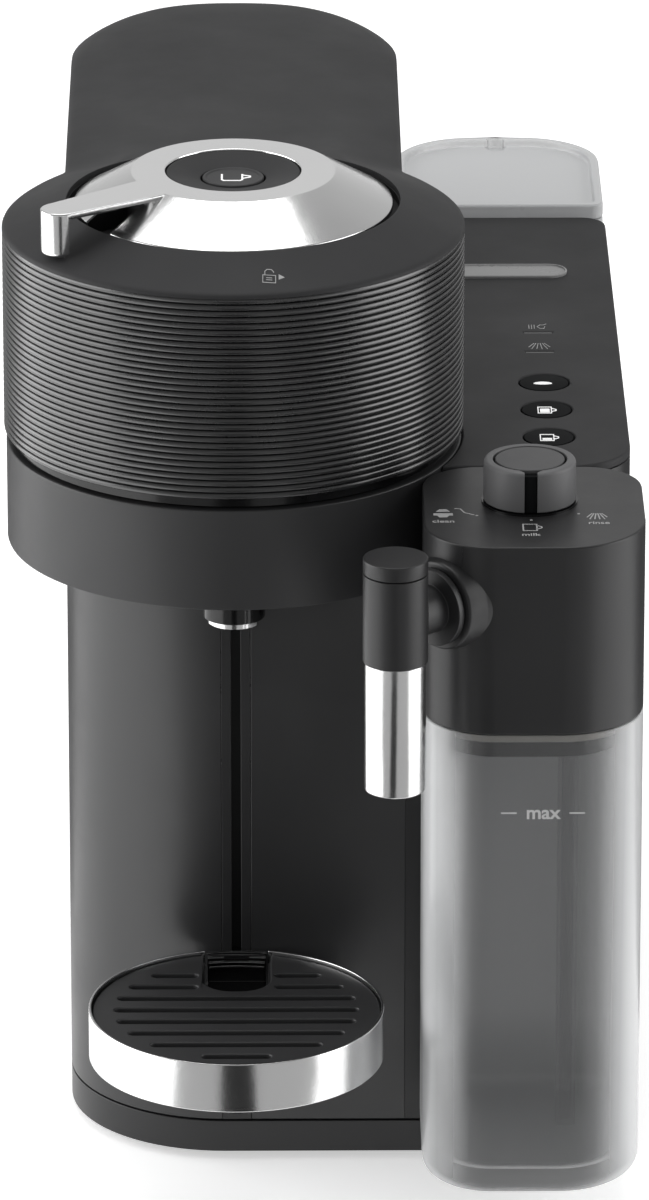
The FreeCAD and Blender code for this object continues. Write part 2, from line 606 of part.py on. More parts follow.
def plate(x0, x1, y0, y1, z0, z1, radii):
    """A block whose upright corners have radii: front left, front right, rear right, rear left."""
    body, sketch = new_sketch("XY_Plane")
    wide, deep = dim(x1) - x0, dim(y1) - y0
    w, h = wide.value, deep.value
    corners = [(0, 0), (w, 0), (w, h), (0, h)]
    steps = [(1, 0), (0, 1), (-1, 0), (0, -1)]
    radii = [dim(radius) for radius in radii]
    lines = []
    for side, (step_x, step_y) in enumerate(steps):
        begin, end = corners[side], corners[(side + 1) % 4]
        r0, r1 = radii[side].value, radii[(side + 1) % 4].value
        line = Part.LineSegment(
            V(begin[0] + step_x * r0, begin[1] + step_y * r0, 0),
            V(end[0] - step_x * r1, end[1] - step_y * r1, 0))
        lines.append(sketch.addGeometry(line, False))
    for side in range(4):
        sketch.addConstraint(Sketcher.Constraint("Horizontal" if side % 2 == 0 else "Vertical", lines[side]))
    for corner in range(4):
        before, after, radius = lines[corner - 1], lines[corner], radii[corner]
        if radius.value <= 0:
            sketch.addConstraint(Sketcher.Constraint("Coincident", before, 2, after, 1))
            continue
        step_in, step_out = steps[corner - 1], steps[corner]
        centre = V(corners[corner][0] + radius.value * (step_out[0] - step_in[0]),
                   corners[corner][1] + radius.value * (step_out[1] - step_in[1]), 0)
        start = math.radians(180 + 90 * corner)
        circle = Part.Circle(centre, V(0, 0, 1), radius.value)
        arc = sketch.addGeometry(Part.ArcOfCircle(circle, start, start + math.pi / 2), False)
        sketch.addConstraint(Sketcher.Constraint("Tangent", before, 2, arc, 1))
        sketch.addConstraint(Sketcher.Constraint("Tangent", arc, 2, after, 1))
        bound_constraint(sketch, "Radius", arc, value=radius)
    sketch.addConstraint(Sketcher.Constraint("PointOnObject", lines[0], 1, -1))
    sketch.addConstraint(Sketcher.Constraint("PointOnObject", lines[3], 1, -2))
    bound_constraint(sketch, "DistanceX", lines[3], 1, lines[1], 1, value=wide)
    bound_constraint(sketch, "DistanceY", lines[0], 1, lines[2], 1, value=deep)
    pad = body.newObject("PartDesign::Pad", "Pad")
    pad.Profile = sketch
    bind(pad, "Length", dim(z1) - z0)
    return place(body, x0, y0, z0)


def turned(x, y, profile, z=0):
    """A turned piece: the profile holds (radius, height) points, and its axis is upright."""
    body, sketch = new_sketch("XZ_Plane")
    points = [(dim(radius), dim(height)) for radius, height in profile]
    lines = []
    for index, (radius, height) in enumerate(points):
        after = points[(index + 1) % len(points)]
        line = Part.LineSegment(V(radius.value, height.value, 0), V(after[0].value, after[1].value, 0))
        lines.append(sketch.addGeometry(line, False))
    for index, line in enumerate(lines):
        sketch.addConstraint(Sketcher.Constraint("Coincident", lines[index - 1], 2, line, 1))
    for line, (radius, height) in zip(lines, points):
        if radius.value == 0:
            sketch.addConstraint(Sketcher.Constraint("PointOnObject", line, 1, -2))
        else:
            bound_constraint(sketch, "DistanceX", -1, 1, line, 1, value=radius)
        bound_constraint(sketch, "DistanceY", -1, 1, line, 1, value=height)
    turn = body.newObject("PartDesign::Revolution", "Turned")
    turn.Profile = sketch
    turn.ReferenceAxis = (sketch, ["V_Axis"])
    turn.Angle = TURN
    return place(body, x, y, z)


def tube(x, y, z0, z1, outer, inner):
    """An upright tube."""
    return turned(x, y, [(inner, z0), (outer, z0), (outer, z1), (inner, z1)])


# ---------------------------------------------------------------- housing

def base():
    """Base with a shelf for the tank, a raised lip inside the seam, and its screws' holes."""
    left, joint, right = at_x(-S.column_half), at_x(S.column_right), at_x(S.right_side)
    front, back, column_back = at_y(0), at_y(S.body_back), at_y(S.column_back)
    top, deep = S.base_top_z, S.seam_deep
    slab = plate(left, joint, front, column_back, S.feet_high, top, [S.column_round, 0, 0, S.back_round])
    right_slab = plate(joint, right, front, back, S.feet_high, top, [0, S.right_front_round, 0, 0])
    lip = plate(left + deep, joint - deep, front + deep, column_back - deep, top, top + S.seam,
                [S.column_round - deep, 0, 0, S.back_round - deep])
    right_lip = plate(joint - deep, right - deep, front + deep, back, top, top + S.seam,
                      [0, S.right_front_round - deep, 0, 0])
    shelf = plate(joint, right, back, at_y(S.tank_back), S.feet_high, S.shelf_z,
                  [0, 0, S.tank_round, S.tank_round])
    socket = rod(*TANK_VALVE, S.socket_low_z, S.socket_radius + S.slide_gap, S.shelf_z)
    holes = []
    for x, y in SCREWS:
        holes.append(rod(x, y, 0, S.screw_radius + S.press_gap, S.shelf_z))
        holes.append(rod(x, y, 0, S.screw_head_radius + S.press_gap * 2,
                         S.feet_high + S.screw_sunk + S.screw_head_high))
    keep("base_plate", cut(fuse(slab, right_slab, lip, right_lip, shelf), socket, *holes))

    feet = [rod(x, y, 0, S.foot_radius, S.feet_high) for x, y in FEET]
    keep("rubber_feet", group(*feet))

    screws = []
    for x, y in SCREWS:
        head = rod(x, y, S.feet_high + S.screw_sunk, S.screw_head_radius, S.screw_head_high)
        shank = rod(x, y, S.feet_high + S.screw_sunk, S.screw_radius, S.screw_long)
        screws.append(fuse(head, shank))
    keep("chassis_screws", group(*screws))


def column():
    """Front, left and rear wall of the column, open to the right side of the housing."""
    low, high = S.base_top_z + S.seam, S.neck_low_z
    left, joint = at_x(-S.column_half), at_x(S.column_right)
    front, back = at_y(0), at_y(S.column_back)
    inner_back = S.back_round - S.wall
    outside = plate(left, joint, front, back, low, high, [S.column_round, 0, 0, S.back_round])
    inside = plate(left + S.wall, joint - S.wall, front + S.wall, back - S.wall, low - OVER, high + OVER,
                   [S.column_round - S.wall, 0, 0, inner_back])
    doorway = box(joint - S.column_round, joint + OVER, front + S.wall, at_y(S.body_back) - S.wall,
                  low - OVER, high + OVER)
    rail_half = S.rail_width / 2 + S.press_gap
    rail_gap = box(at_x(S.rail_x) - rail_half, at_x(S.rail_x) + rail_half, front - OVER,
                   front + S.wall + OVER, low - OVER, high + OVER)
    bin_half = S.bin_half + S.bin_gap
    bin_gap = box(at_x(-bin_half), at_x(bin_half), back - S.wall - OVER, back + OVER,
                  S.bin_low_z - S.bin_gap, S.bin_top_z + S.bin_gap)
    gland_gap = rod(at_x(S.gland_x), back - S.wall - OVER, S.gland_z, S.gland_radius + S.press_gap,
                    S.wall + OVER * 2, "y")
    keep("column_shell", cut(outside, inside, doorway, rail_gap, bin_gap, gland_gap))

    x, slot_back = at_x(S.rail_x), front + S.rail_deep - S.rail_web
    slot_low, slot_high = low + S.rail_end, high - S.rail_end
    bar = box(x - S.rail_width / 2, x + S.rail_width / 2, front, front + S.rail_deep, low, high)
    slot = box(x - S.slot_half, x + S.slot_half, front - OVER, slot_back, slot_low, slot_high)
    wide = box(x - S.slot_head_half, x + S.slot_head_half, front + S.lip_deep, slot_back,
               slot_low, slot_high)
    keep("rail_strip", cut(bar, slot, wide))

    start = back + S.gland_flange - S.gland_long
    barrel = rod(at_x(S.gland_x), start, S.gland_z, S.gland_radius, S.gland_long, "y")
    flange = rod(at_x(S.gland_x), back, S.gland_z, S.gland_radius + S.gland_flange, S.gland_flange, "y")
    bore = rod(at_x(S.gland_x), start - OVER, S.gland_z, S.gland_bore, S.gland_long + OVER * 2, "y")
    keep("cord_gland", cut(fuse(barrel, flange), bore))


def right_side():
    """Right wall with the dock's pegs, the deck above it, and the lenses in the deck."""
    low, high = S.base_top_z + S.seam, S.deck_z - S.deck_thick
    joint, right = at_x(S.column_right), at_x(S.right_side)
    front, back = at_y(0), at_y(S.body_back)
    radii = [0, S.right_front_round, S.right_back_round, 0]
    inner_radii = [0, S.right_front_round - S.wall, S.right_back_round - S.wall, 0]
    outside = plate(joint, right, front, back, low, high, radii)
    inside = plate(joint - OVER, right - S.wall, front + S.wall, back - S.wall, low - OVER, high + OVER,
                   inner_radii)
    nozzle_gap = rod(at_x(S.nozzle_x), front - OVER, S.nozzle_z, S.nozzle_radius + S.press_gap,
                     S.wall + OVER * 2, "y")
    neck_gap = rod(at_x(0), DRUM_Y, S.neck_low_z - S.slide_gap, S.neck_radius + S.press_gap, S.deck_z)
    pegs = [rod(x, front - S.peg_long, S.peg_z, S.peg_radius, S.peg_long + S.wall, "y") for x in PEGS]
    keep("side_shell", cut(fuse(cut(outside, inside), *pegs), nozzle_gap, neck_gap))

    sheet = plate(joint, right, front, back, high, S.deck_z, radii)
    holes = [rod(at_x(S.recipe_x), y, high - OVER, S.recipe_radius + S.slide_gap, S.deck_thick + OVER * 2)
             for y in RECIPE_Y]
    x0, x1 = at_x(S.lens_x) - S.lens_long / 2, at_x(S.lens_x) + S.lens_long / 2
    half = S.lens_wide / 2
    slits = [box(x0, x1, y - half, y + half, high - OVER, S.deck_z + OVER) for y in LENS_Y]
    neck_cut = rod(at_x(0), DRUM_Y, high - OVER, S.neck_radius + S.press_gap, S.deck_thick + OVER * 2)
    keep("top_deck", cut(sheet, neck_cut, *holes, *slits))
    lenses = [box(x0, x1, y - half, y + half, high, S.deck_z - S.slide_gap) for y in LENS_Y]
    keep("indicator_lenses", group(*lenses))


def neck():
    """Fixed lower part of the head, with the fixed half of the hinge."""
    low, high, half, back = S.neck_low_z, S.deck_z, S.column_half, at_y(S.column_back)
    inner_round = S.back_round - S.wall
    round_part = rod(at_x(0), DRUM_Y, low, S.neck_radius, high - low)
    tail = plate(at_x(-half), at_x(half), DRUM_Y, back, low, high, [0, 0, S.back_round, S.back_round])
    hollow_low, hollow_high = low + S.wall, high - S.wall
    hollow_round = rod(at_x(0), DRUM_Y, hollow_low, S.neck_radius - S.wall, hollow_high - hollow_low)
    hollow_tail = plate(at_x(-half) + S.wall, at_x(half) - S.wall, DRUM_Y, back - S.wall,
                        hollow_low, hollow_high, [0, 0, inner_round, inner_round])
    cup_hole = rod(at_x(0), DRUM_Y, hollow_low, S.cup_hole_radius, high - low)
    outlet_hole = rod(at_x(0), at_y(S.outlet_y), low - OVER, S.outlet_radius + S.press_gap,
                      S.wall + OVER * 2)
    ledge = S.wall * 3
    column_hole = box(at_x(-half) + ledge, at_x(half) - ledge, at_y(S.rail_deep * 2), back - ledge * 2,
                      low - OVER, hollow_low + OVER)
    keep("neck_housing", cut(fuse(round_part, tail), fuse(hollow_round, hollow_tail),
                             cup_hole, outlet_hole, column_hole))

    x, y, z = at_x(0), at_y(S.hinge_y), S.hinge_z
    barrel = rod(x - S.barrel_half, y, z, S.barrel_radius, S.barrel_half * 2, "x")
    saddle = box(x - S.barrel_half, x + S.barrel_half, y - S.saddle_front, y + S.saddle_back, high, z)
    bore = rod(x - S.barrel_half - OVER, y, z, S.pin_radius + S.running_fit,
               S.barrel_half * 2 + OVER * 2, "x")
    keep("hinge_barrel", cut(fuse(barrel, saddle), bore))


# ---------------------------------------------------------------- works inside

def inner_frame():
    """Upright plate with shelves, the motor's bracket and the base's fixing plate."""
    low, high = S.base_top_z + S.seam, S.neck_low_z - S.slide_gap
    clear = S.wall + S.slide_gap
    middle, half = at_x(S.column_right), S.spine_thick / 2
    left, right = at_x(-S.column_half) + clear, at_x(S.right_side) - clear
    shelf_back = at_y(S.body_back - S.shelf_back)
    spine = box(middle - half, middle + half, at_y(0) + clear, at_y(S.body_back) - clear, low, high)
    foot = box(FOOT_PLATE_LEFT, FOOT_PLATE_RIGHT, FOOT_PLATE_FRONT, FOOT_PLATE_BACK, low,
               low + S.floor_thick)
    shelf_left = box(left, middle - half, at_y(S.shelf_left_front), shelf_back, S.shelf_left_z,
                     S.shelf_left_z + S.floor_thick)
    shelf_right = box(middle + half, right, at_y(S.shelf_right_front), shelf_back, S.shelf_right_z,
                      S.shelf_right_z + S.floor_thick)
    reach = S.bearing_radius + S.bearing_seat * 3
    bracket = box(at_x(0) - reach, middle - half, DRUM_Y - reach + S.floor_thick, DRUM_Y + reach,
                  S.motor_top_z, S.motor_top_z + S.bracket_thick)
    boss = rod(at_x(0), DRUM_Y, S.motor_top_z, S.bearing_radius + S.bearing_seat, high - S.motor_top_z)
    bore = rod(at_x(0), DRUM_Y, S.motor_top_z - OVER, S.bearing_radius, S.neck_low_z)
    holes = [rod(x, y, low - OVER, S.screw_radius + S.press_gap, S.floor_thick + OVER * 2)
             for x, y in SCREWS]
    keep("inner_frame", cut(fuse(spine, foot, shelf_left, shelf_right, bracket, boss), bore, *holes))


def spinner():
    """Motor, bearings, shaft and the capsule cup that they spin."""
    x, y = at_x(0), DRUM_Y
    motor = rod(x, y, S.motor_top_z - S.motor_high, S.motor_radius, S.motor_high)
    shaft_low = S.motor_top_z - S.shaft_in_motor
    shaft_gap = rod(x, y, shaft_low - OVER, S.shaft_radius + S.slide_gap, S.shaft_in_motor + OVER * 2)
    keep("centrifuge_motor", cut(motor, shaft_gap))
    keep("drive_shaft", rod(x, y, shaft_low, S.shaft_radius, S.cup_low_z - shaft_low))
    rings = [tube(x, y, z, z + S.bearing_high, S.bearing_radius, S.shaft_radius + S.running_fit)
             for z in (S.motor_top_z, S.neck_low_z - S.slide_gap - S.bearing_high)]
    keep("shaft_bearings", group(*rings))

    low, top, wall, rim = S.cup_low_z, S.cup_top_z, S.cup_wall, S.cup_wall + S.running_fit
    foot, shoulder = S.cup_radius - S.cup_taper, S.cup_radius - S.cup_rim / 2
    bend = low + S.cup_taper - S.cup_rim
    keep("capsule_cup", turned(x, y, [
        (0, low), (foot, low), (shoulder, bend), (S.cup_radius, top - rim),
        (S.cup_rim_radius, top - rim), (S.cup_rim_radius, top), (S.cup_radius - wall, top),
        (shoulder - wall, bend + OVER), (foot - wall, low + wall), (0, low + wall)]))


def coffee_way():
    """Trough round the spinning cup, and the outlet below it."""
    x, y, floor = at_x(0), DRUM_Y, S.neck_low_z + S.wall
    outer, inner = S.neck_radius - S.wall - S.slide_gap, S.cup_hole_radius + S.trough_gap
    wall, top = S.trough_wall, floor + S.trough_high
    outlet_y, inner_top = at_y(S.outlet_y), floor + S.trough_high - S.bracket_thick
    trough = turned(x, y, [
        (inner, floor), (outer, floor), (outer, top), (outer - wall, top), (outer - wall, floor + wall),
        (inner + wall, floor + wall), (inner + wall, inner_top), (inner, inner_top)])
    drain = rod(x, outlet_y, floor - OVER, S.outlet_radius - S.outlet_wall - S.press_gap * 2,
                wall + OVER * 2)
    keep("coffee_collector", cut(trough, drain))
    keep("coffee_spout", tube(x, outlet_y, S.outlet_low_z, floor, S.outlet_radius,
                              S.outlet_radius - S.outlet_wall))
    keep("spout_collar", tube(x, outlet_y, S.outlet_low_z + S.outlet_wall, S.neck_low_z,
                              S.outlet_radius + S.collar_wall, S.outlet_radius + S.running_fit))


def boilers():
    """Heaters, pump, flow meter and hoses on the inner frame's shelves, and the dock's nozzle."""
    left_top = S.shelf_left_z + S.floor_thick
    right_top = S.shelf_right_z + S.floor_thick
    heater_left, works_front = at_x(-S.works_left), at_y(S.works_front)
    keep("thermoblock", plate(heater_left, heater_left + S.heater_wide, works_front,
                              works_front + S.heater_deep, left_top, left_top + S.heater_high,
                              [S.heater_round] * 4))
    half, pump_x, pump_z = S.pump_wide / 2, at_x(S.pump_right), left_top + S.pump_mount
    mount_half, pump_front = half - S.mount_inset, works_front + S.pump_behind
    fronts = (pump_front, pump_front + S.mount_pitch)
    mounts = [box(pump_x - mount_half, pump_x + mount_half, y, y + S.mount_deep, left_top, pump_z)
              for y in fronts]
    keep("pump_mounts", group(*mounts))
    coil_back = pump_front + S.pump_coil
    coil = box(pump_x - half, pump_x + half, pump_front, coil_back, pump_z, pump_z + S.pump_wide)
    barrel = rod(pump_x, coil_back, pump_z + half, half * S.pump_barrel_share, S.pump_barrel, "y")
    nose = box(pump_x - S.pump_outlet_half, pump_x + S.pump_outlet_half, fronts[1],
               fronts[1] + S.mount_deep, pump_z, pump_z + half)
    keep("water_pump", fuse(coil, barrel, nose))

    steam_x, steam_y = at_x(S.steam_left), at_y(S.steam_front)
    steam_back, meter_x = steam_y + S.steam_deep, steam_x + S.meter_right
    meter_y = steam_back + S.meter_behind
    keep("flow_meter", rod(meter_x, meter_y, right_top, S.meter_radius, S.meter_high))
    keep("steam_block", plate(steam_x, steam_x + S.steam_wide, steam_y, steam_back, right_top,
                              right_top + S.steam_high, [S.heater_round] * 4))
    foot_top = S.base_top_z + S.seam + S.floor_thick
    supply = rod(meter_x, FOOT_PLATE_BACK - S.supply_inset, foot_top, S.hose_radius,
                 S.shelf_right_z - foot_top)
    heater_top = left_top + S.heater_high
    riser = rod(heater_left + S.heater_wide / 2, works_front + S.heater_deep / 2, heater_top,
                S.hose_radius, S.neck_low_z - OVER - heater_top)
    link = rod(meter_x, steam_back, right_top + S.meter_high / 2, S.hose_radius,
               S.meter_behind - S.meter_radius - S.press_gap, "y")
    keep("water_hoses", group(supply, riser, link))

    x, front, post = at_x(S.nozzle_x), at_y(0), S.nozzle_post
    pipe = rod(x, front, S.nozzle_z, S.nozzle_radius, S.nozzle_long, "y")
    leg = box(x - post / 2, x + post / 2, front + S.nozzle_long - post, front + S.nozzle_long,
              right_top + S.steam_high, S.nozzle_z)
    steam = rod(x, front - OVER, S.nozzle_z, S.nozzle_bore, S.nozzle_long * S.nozzle_bore_share, "y")
    keep("dock_nozzle", cut(fuse(pipe, leg), steam))


def control_board():
    """Circuit board that hangs from the deck on four posts."""
    board_top = S.deck_z - S.deck_thick - S.board_drop
    low, inset = board_top - S.board_thick, S.stem_radius * 1.5
    x0, x1 = at_x(S.recipe_x) - S.board_wide / 2, at_x(S.recipe_x) + S.board_wide / 2
    y0, y1 = at_y(S.board_front), at_y(S.board_back)
    board = box(x0, x1, y0, y1, low, board_top)
    posts = [rod(x, y, low, S.stem_radius, S.board_drop + S.board_thick)
             for x in (x0 + inset, x1 - inset) for y in (y0 + inset, y1 - inset)]
    keep("control_board", fuse(board, *posts))


# ---------------------------------------------------------------- tilting head

def head_outline(inset, z0, z1):
    """The head's keyhole plan, drawn in by a distance, without the drum's crown."""
    drum = rod(at_x(0), DRUM_Y, z0, S.drum_skin_radius - inset, z1 - z0)
    radius = S.tongue_round - inset
    tongue = plate(at_x(-S.column_half) + inset, at_x(S.column_half) - inset, DRUM_Y,
                   at_y(S.tongue_back) - inset, z0, z1, [0, 0, radius, radius])
    return drum, tongue


def below_hinge(radius):
    """The corner under and behind the hinge, outside a radius about its axis."""
    x, y, z = at_x(0), at_y(S.hinge_y), S.hinge_z
    half, reach = S.column_half + OVER, S.hinge_inset * 2
    corner = box(x - half, x + half, y, y + reach, z - reach, z)
    return cut(corner, rod(x - half - OVER, y, z, radius, (half + OVER) * 2, "x"))


def behind_fall(radius):
    """The corner above and behind the cover's rear edge, outside a radius."""
    x, y, z = at_x(0), at_y(S.tongue_back - S.tongue_fall), S.tongue_top_z - S.tongue_fall
    half, reach = S.column_half + OVER, S.tongue_fall * 2
    corner = box(x - half, x + half, y, y + reach, z, z + reach)
    return cut(corner, rod(x - half - OVER, y, z, radius, (half + OVER) * 2, "x"))


def head():
    """Tilting cover with its floor, knuckles and pin, and the seal over the cup."""
    x, y = at_x(0), DRUM_Y
    low, rim, lip, skin = S.head_floor_top_z, S.drum_rim_z, S.rim_thick, S.drum_skin_radius
    shoulder = rim - lip - S.wall
    tongue = head_outline(0, low, S.tongue_top_z)[1]
    drum_wall = rod(x, y, low, skin, shoulder - low)
    crown = turned(x, y, [
        (0, shoulder - OVER), (skin, shoulder - OVER), (skin, rim - lip), (S.drum_radius, rim - lip),
        (S.drum_radius, rim), (S.well_radius, rim + S.crown_rise), (0, rim + S.crown_rise)])
    well = rod(x, y, S.well_floor_z, S.well_radius, S.drum_high)
    outside = cut(fuse(drum_wall, crown, tongue), well, behind_fall(S.tongue_fall))
    well_underside = S.well_floor_z - S.well_floor_thick
    hollow_drum = rod(x, y, low - OVER, skin - S.wall, shoulder - S.wall - low)
    hollow_top = rod(x, y, low, S.well_radius - S.wall, well_underside - low)
    hollow_tongue = head_outline(S.wall, low - OVER, S.tongue_top_z - S.wall)[1]
    well_wall = rod(x, y, well_underside, S.well_radius + S.wall * 3, S.drum_high)
    tongue_hollow = cut(hollow_tongue, well_wall, below_hinge(S.hinge_round - S.wall),
                        behind_fall(S.tongue_fall - S.wall))
    lever_hole = rod(x, y, low, S.lock_radius + S.slide_gap, S.drum_high * 2)
    barrel_side = S.barrel_half + S.bin_gap
    barrel_gap = box(x - barrel_side, x + barrel_side, at_y(S.hinge_y) - S.saddle_front * 1.2,
                     at_y(S.tongue_back) + OVER, low - OVER, S.hinge_z)
    shell = cut(outside, hollow_drum, hollow_top, tongue_hollow, lever_hole,
                below_hinge(S.hinge_round), barrel_gap)
    hinge_y, hinge_z = at_y(S.hinge_y), S.hinge_z
    web_top = S.tongue_top_z - S.wall + S.running_fit
    near = S.barrel_half + S.knuckle_gap
    knuckles = []
    for start in (x + near, x - near - S.knuckle_width):
        ear = rod(start, hinge_y, hinge_z, S.knuckle_radius, S.knuckle_width, "x")
        web = box(start, start + S.knuckle_width, hinge_y - S.knuckle_web / 2,
                  hinge_y + S.knuckle_web / 2, hinge_z, web_top)
        knuckles += [ear, web]
    pin_hole = rod(x - S.pin_half - OVER, hinge_y, hinge_z, S.pin_radius + S.running_fit / 5,
                   (S.pin_half + OVER) * 2, "x")
    keep("head_shell", cut(fuse(shell, *knuckles), pin_hole))
    keep("hinge_pin", rod(x - S.pin_half, hinge_y, hinge_z, S.pin_radius, S.pin_half * 2, "x"))

    ring = tube(x, y, S.sleeve_low_z, rim - lip, S.drum_radius, S.drum_radius - S.sleeve_wall)
    half = S.column_half
    tongue_gap = box(x - half, x + half, y, y + S.drum_radius + OVER, S.sleeve_low_z - OVER, rim + OVER)
    keep("ribbed_sleeve", cut(ring, tongue_gap))

    floor_back = at_y(S.hinge_y) - S.hinge_round
    thick = S.head_floor_thick
    disc = rod(x, y, S.head_low_z, skin - S.sleeve_gap, thick)
    tail = box(x - half + S.wall, x + half - S.wall, y, floor_back, S.head_low_z, low)
    hole = rod(x, y, S.head_low_z - OVER, S.seal_radius + S.press_gap * 2, thick + OVER * 2)
    keep("head_floor", cut(fuse(disc, tail), hole))


def head_middle():
    """Seal plate with its piercing pin, the fixed disc in the lever's middle, and the start button."""
    x, y = at_x(0), DRUM_Y
    under, top = S.head_low_z, S.head_floor_top_z
    flange = S.seal_radius + S.seal_flange
    tip, cone = under - S.needle_long, under - S.needle_long + S.needle_radius * 2
    seal_top = top + S.seal_thick
    keep("seal_plate", turned(x, y, [
        (0, tip), (S.needle_radius / 3, tip), (S.needle_radius, cone), (S.needle_radius, under),
        (S.seal_radius, under), (S.seal_radius, top), (flange, top), (flange, seal_top), (0, seal_top)]))

    dish, bore = S.lever_top_z - S.disc_drop, S.disc_stem - S.stem_wall
    button_hole = S.start_radius + S.slide_gap
    dip, edge = S.disc_dip, S.disc_edge
    pocket_low = dish - S.pocket_deep
    keep("centre_disc", turned(x, y, [
        (bore, seal_top), (S.disc_stem, seal_top), (S.disc_stem, dish - edge * 2),
        (S.disc_radius, dish - edge), (S.disc_radius, dish), (button_hole, dish - dip),
        (button_hole, pocket_low), (0, pocket_low), (0, pocket_low - S.wall), (bore, pocket_low - S.wall)]))
    button_low, bevel = pocket_low + S.button_travel_gap, S.button_bevel
    button_top = dish - dip + S.button_proud
    keep("start_button", turned(x, y, [
        (0, button_low), (S.start_radius, button_low), (S.start_radius, button_top - bevel / 2),
        (S.start_radius - bevel, button_top), (0, button_top - S.slide_gap)]))


def lever():
    """Turning lever with its arm, and the locking ring inside the head that it carries."""
    top, low, bore = S.lever_top_z, S.well_floor_z + S.slide_gap, S.lever_bore
    ring = turned(0, 0, [
        (bore, low), (S.lever_skirt_radius, low), (S.lever_skirt_radius, S.lever_skirt_z),
        (S.lever_flat_radius, top), (bore, top)])
    half, tip, thick = S.arm_width / 2, S.arm_reach, S.arm_thick
    tip_radii = [0, S.arm_round, S.arm_round, 0]
    hollow = box(S.arm_hollow, tip, -half - OVER, S.arm_hollow_side, low - OVER, top - thick)
    arm = plate(bore + S.wall, tip, -half, half, top - thick, top, tip_radii)
    tab_low, tab_inner = top - S.tab_high, tip - S.tab_thick
    tab = plate(tab_inner - S.arm_round, tip, -half, half, tab_low, top - thick / 2, tip_radii)
    tab_back = box(tab_inner - S.arm_round - OVER, tab_inner, -half - OVER, half + OVER,
                   tab_low - OVER, top - thick)
    joined = fuse(cut(ring, hollow), arm, cut(tab, tab_back))
    keep("lever", place(cut(joined, rod(0, 0, 0, bore, top + OVER)), at_x(0), DRUM_Y, 0,
                        (0, 0, 1), S.lever_angle))
    ring_low = S.head_floor_top_z + S.lock_clear
    inner, outer, thick = S.lock_radius - S.lock_wall, S.lock_radius + S.lock_flange, S.lock_thick
    keep("lock_ring", turned(at_x(0), DRUM_Y, [
        (inner, ring_low), (outer, ring_low), (outer, ring_low + thick),
        (S.lock_radius, ring_low + thick), (S.lock_radius, low), (inner, low)]))


def recipe_buttons():
    """Three round buttons in the deck, each with its stem."""
    top, low = S.deck_z, S.deck_z - S.deck_thick
    bevel = 0.4
    for number, y in enumerate(RECIPE_Y, start=1):
        keep(f"recipe_button_{number}", turned(at_x(S.recipe_x), y, [
            (0, low - S.stem_long), (S.stem_radius, low - S.stem_long), (S.stem_radius, low - OVER),
            (S.recipe_radius, low - OVER), (S.recipe_radius, top - bevel),
            (S.recipe_radius - bevel, top), (0, top)]))


# ---------------------------------------------------------------- drip tray

def tray():
    """Carriage on the height rail, and the round tray that it carries."""
    x, front, gap = at_x(S.rail_x), at_y(0), S.slide_gap
    middle = front - gap - S.tray_radius
    low, top = S.tray_low_z, S.tray_top_z
    half = S.notch_half - gap - S.notch_gap / 2
    key_low, key_high = low - S.key_below, top - S.basin_wall
    lip_back = front + S.lip_deep + gap
    stem = box(x - S.slot_half + gap, x + S.slot_half - gap, front - gap, lip_back + OVER,
               key_low, key_high)
    key = box(x - S.slot_head_half + gap, x + S.slot_head_half - gap, lip_back,
              front + S.rail_deep - S.rail_web - gap, key_low, key_high)
    tongue_front, nose = front - S.notch_deep + S.notch_gap * 2, half - OVER
    arm = plate(x - half, x + half, tongue_front, front - gap, low - gap - S.carriage_arm, low - gap,
                [nose, nose, 0, 0])
    step = plate(x - half, x + half, tongue_front, front - gap, low - gap, low + S.carriage_step,
                 [nose, nose, 0, 0])
    back = box(x - half, x + half, front - gap - S.carriage_back, front - gap, key_low, top - OVER)
    keep("tray_carriage", fuse(stem, key, arm, step, back))

    inner = S.tray_radius - S.band_thick - S.running_fit
    wall, floor, grid_low = S.basin_wall, low + S.basin_raise, S.grid_top_z - S.grid_thick
    notch = notch_block(0, low - OVER, top + OVER)
    island = notch_block(wall, low - OVER, top + OVER)
    basin = rod(x, middle, floor, inner, grid_low - floor)
    pool = cut(rod(x, middle, floor + wall, inner - wall, top), island)
    keep("drip_tray", cut(basin, pool, notch))

    band = tube(x, middle, low, top, S.tray_radius, S.tray_radius - S.band_thick)
    band_gap = box(x - S.notch_half, x + S.notch_half, front - S.notch_deep / 2, front + OVER,
                   low - OVER, top + OVER)
    keep("tray_band", cut(band, band_gap))

    disc = rod(x, middle, grid_low, inner - gap, S.grid_thick)
    slots = [plate(x0, x1, y - S.grid_slot / 2, y + S.grid_slot / 2, grid_low - OVER, top,
                   [S.grid_slot / 2 - S.running_fit] * 4) for x0, x1, y in slot_places(x, middle)]
    keep("drip_grid", cut(disc, notch_block(S.notch_gap, grid_low - OVER, top + OVER), *slots))


def notch_block(inset, z0, z1):
    """The notch at the tray's rear, widened by a distance."""
    x, front, half = at_x(S.rail_x), at_y(0), S.notch_half + inset
    nose = half - OVER
    return plate(x - half, x + half, front - S.notch_deep - inset, front + OVER, z0, z1,
                 [nose, nose, 0, 0])


def slot_places(x, middle):
    """Ends and middle line of each drip slot: rows across the grid, split beside the notch."""
    reach = S.tray_radius - S.grid_margin
    beside = S.notch_half + S.grid_bar
    places = []
    rows_to_front = int((reach / S.grid_pitch).value)
    for row in range(-rows_to_front, rows_to_front + 1):
        offset = S.grid_pitch * row
        half_long = root(reach * reach - offset * offset)
        line = middle + offset
        if offset.value < (S.tray_radius - S.notch_deep - S.row_clear).value:
            places.append((x - half_long, x + half_long, line))
        elif half_long.value > beside.value + S.grid_slot.value * 2:
            places += [(x - half_long, x - beside, line), (x + beside, x + half_long, line)]
    return places


# ---------------------------------------------------------------- water tank, bin

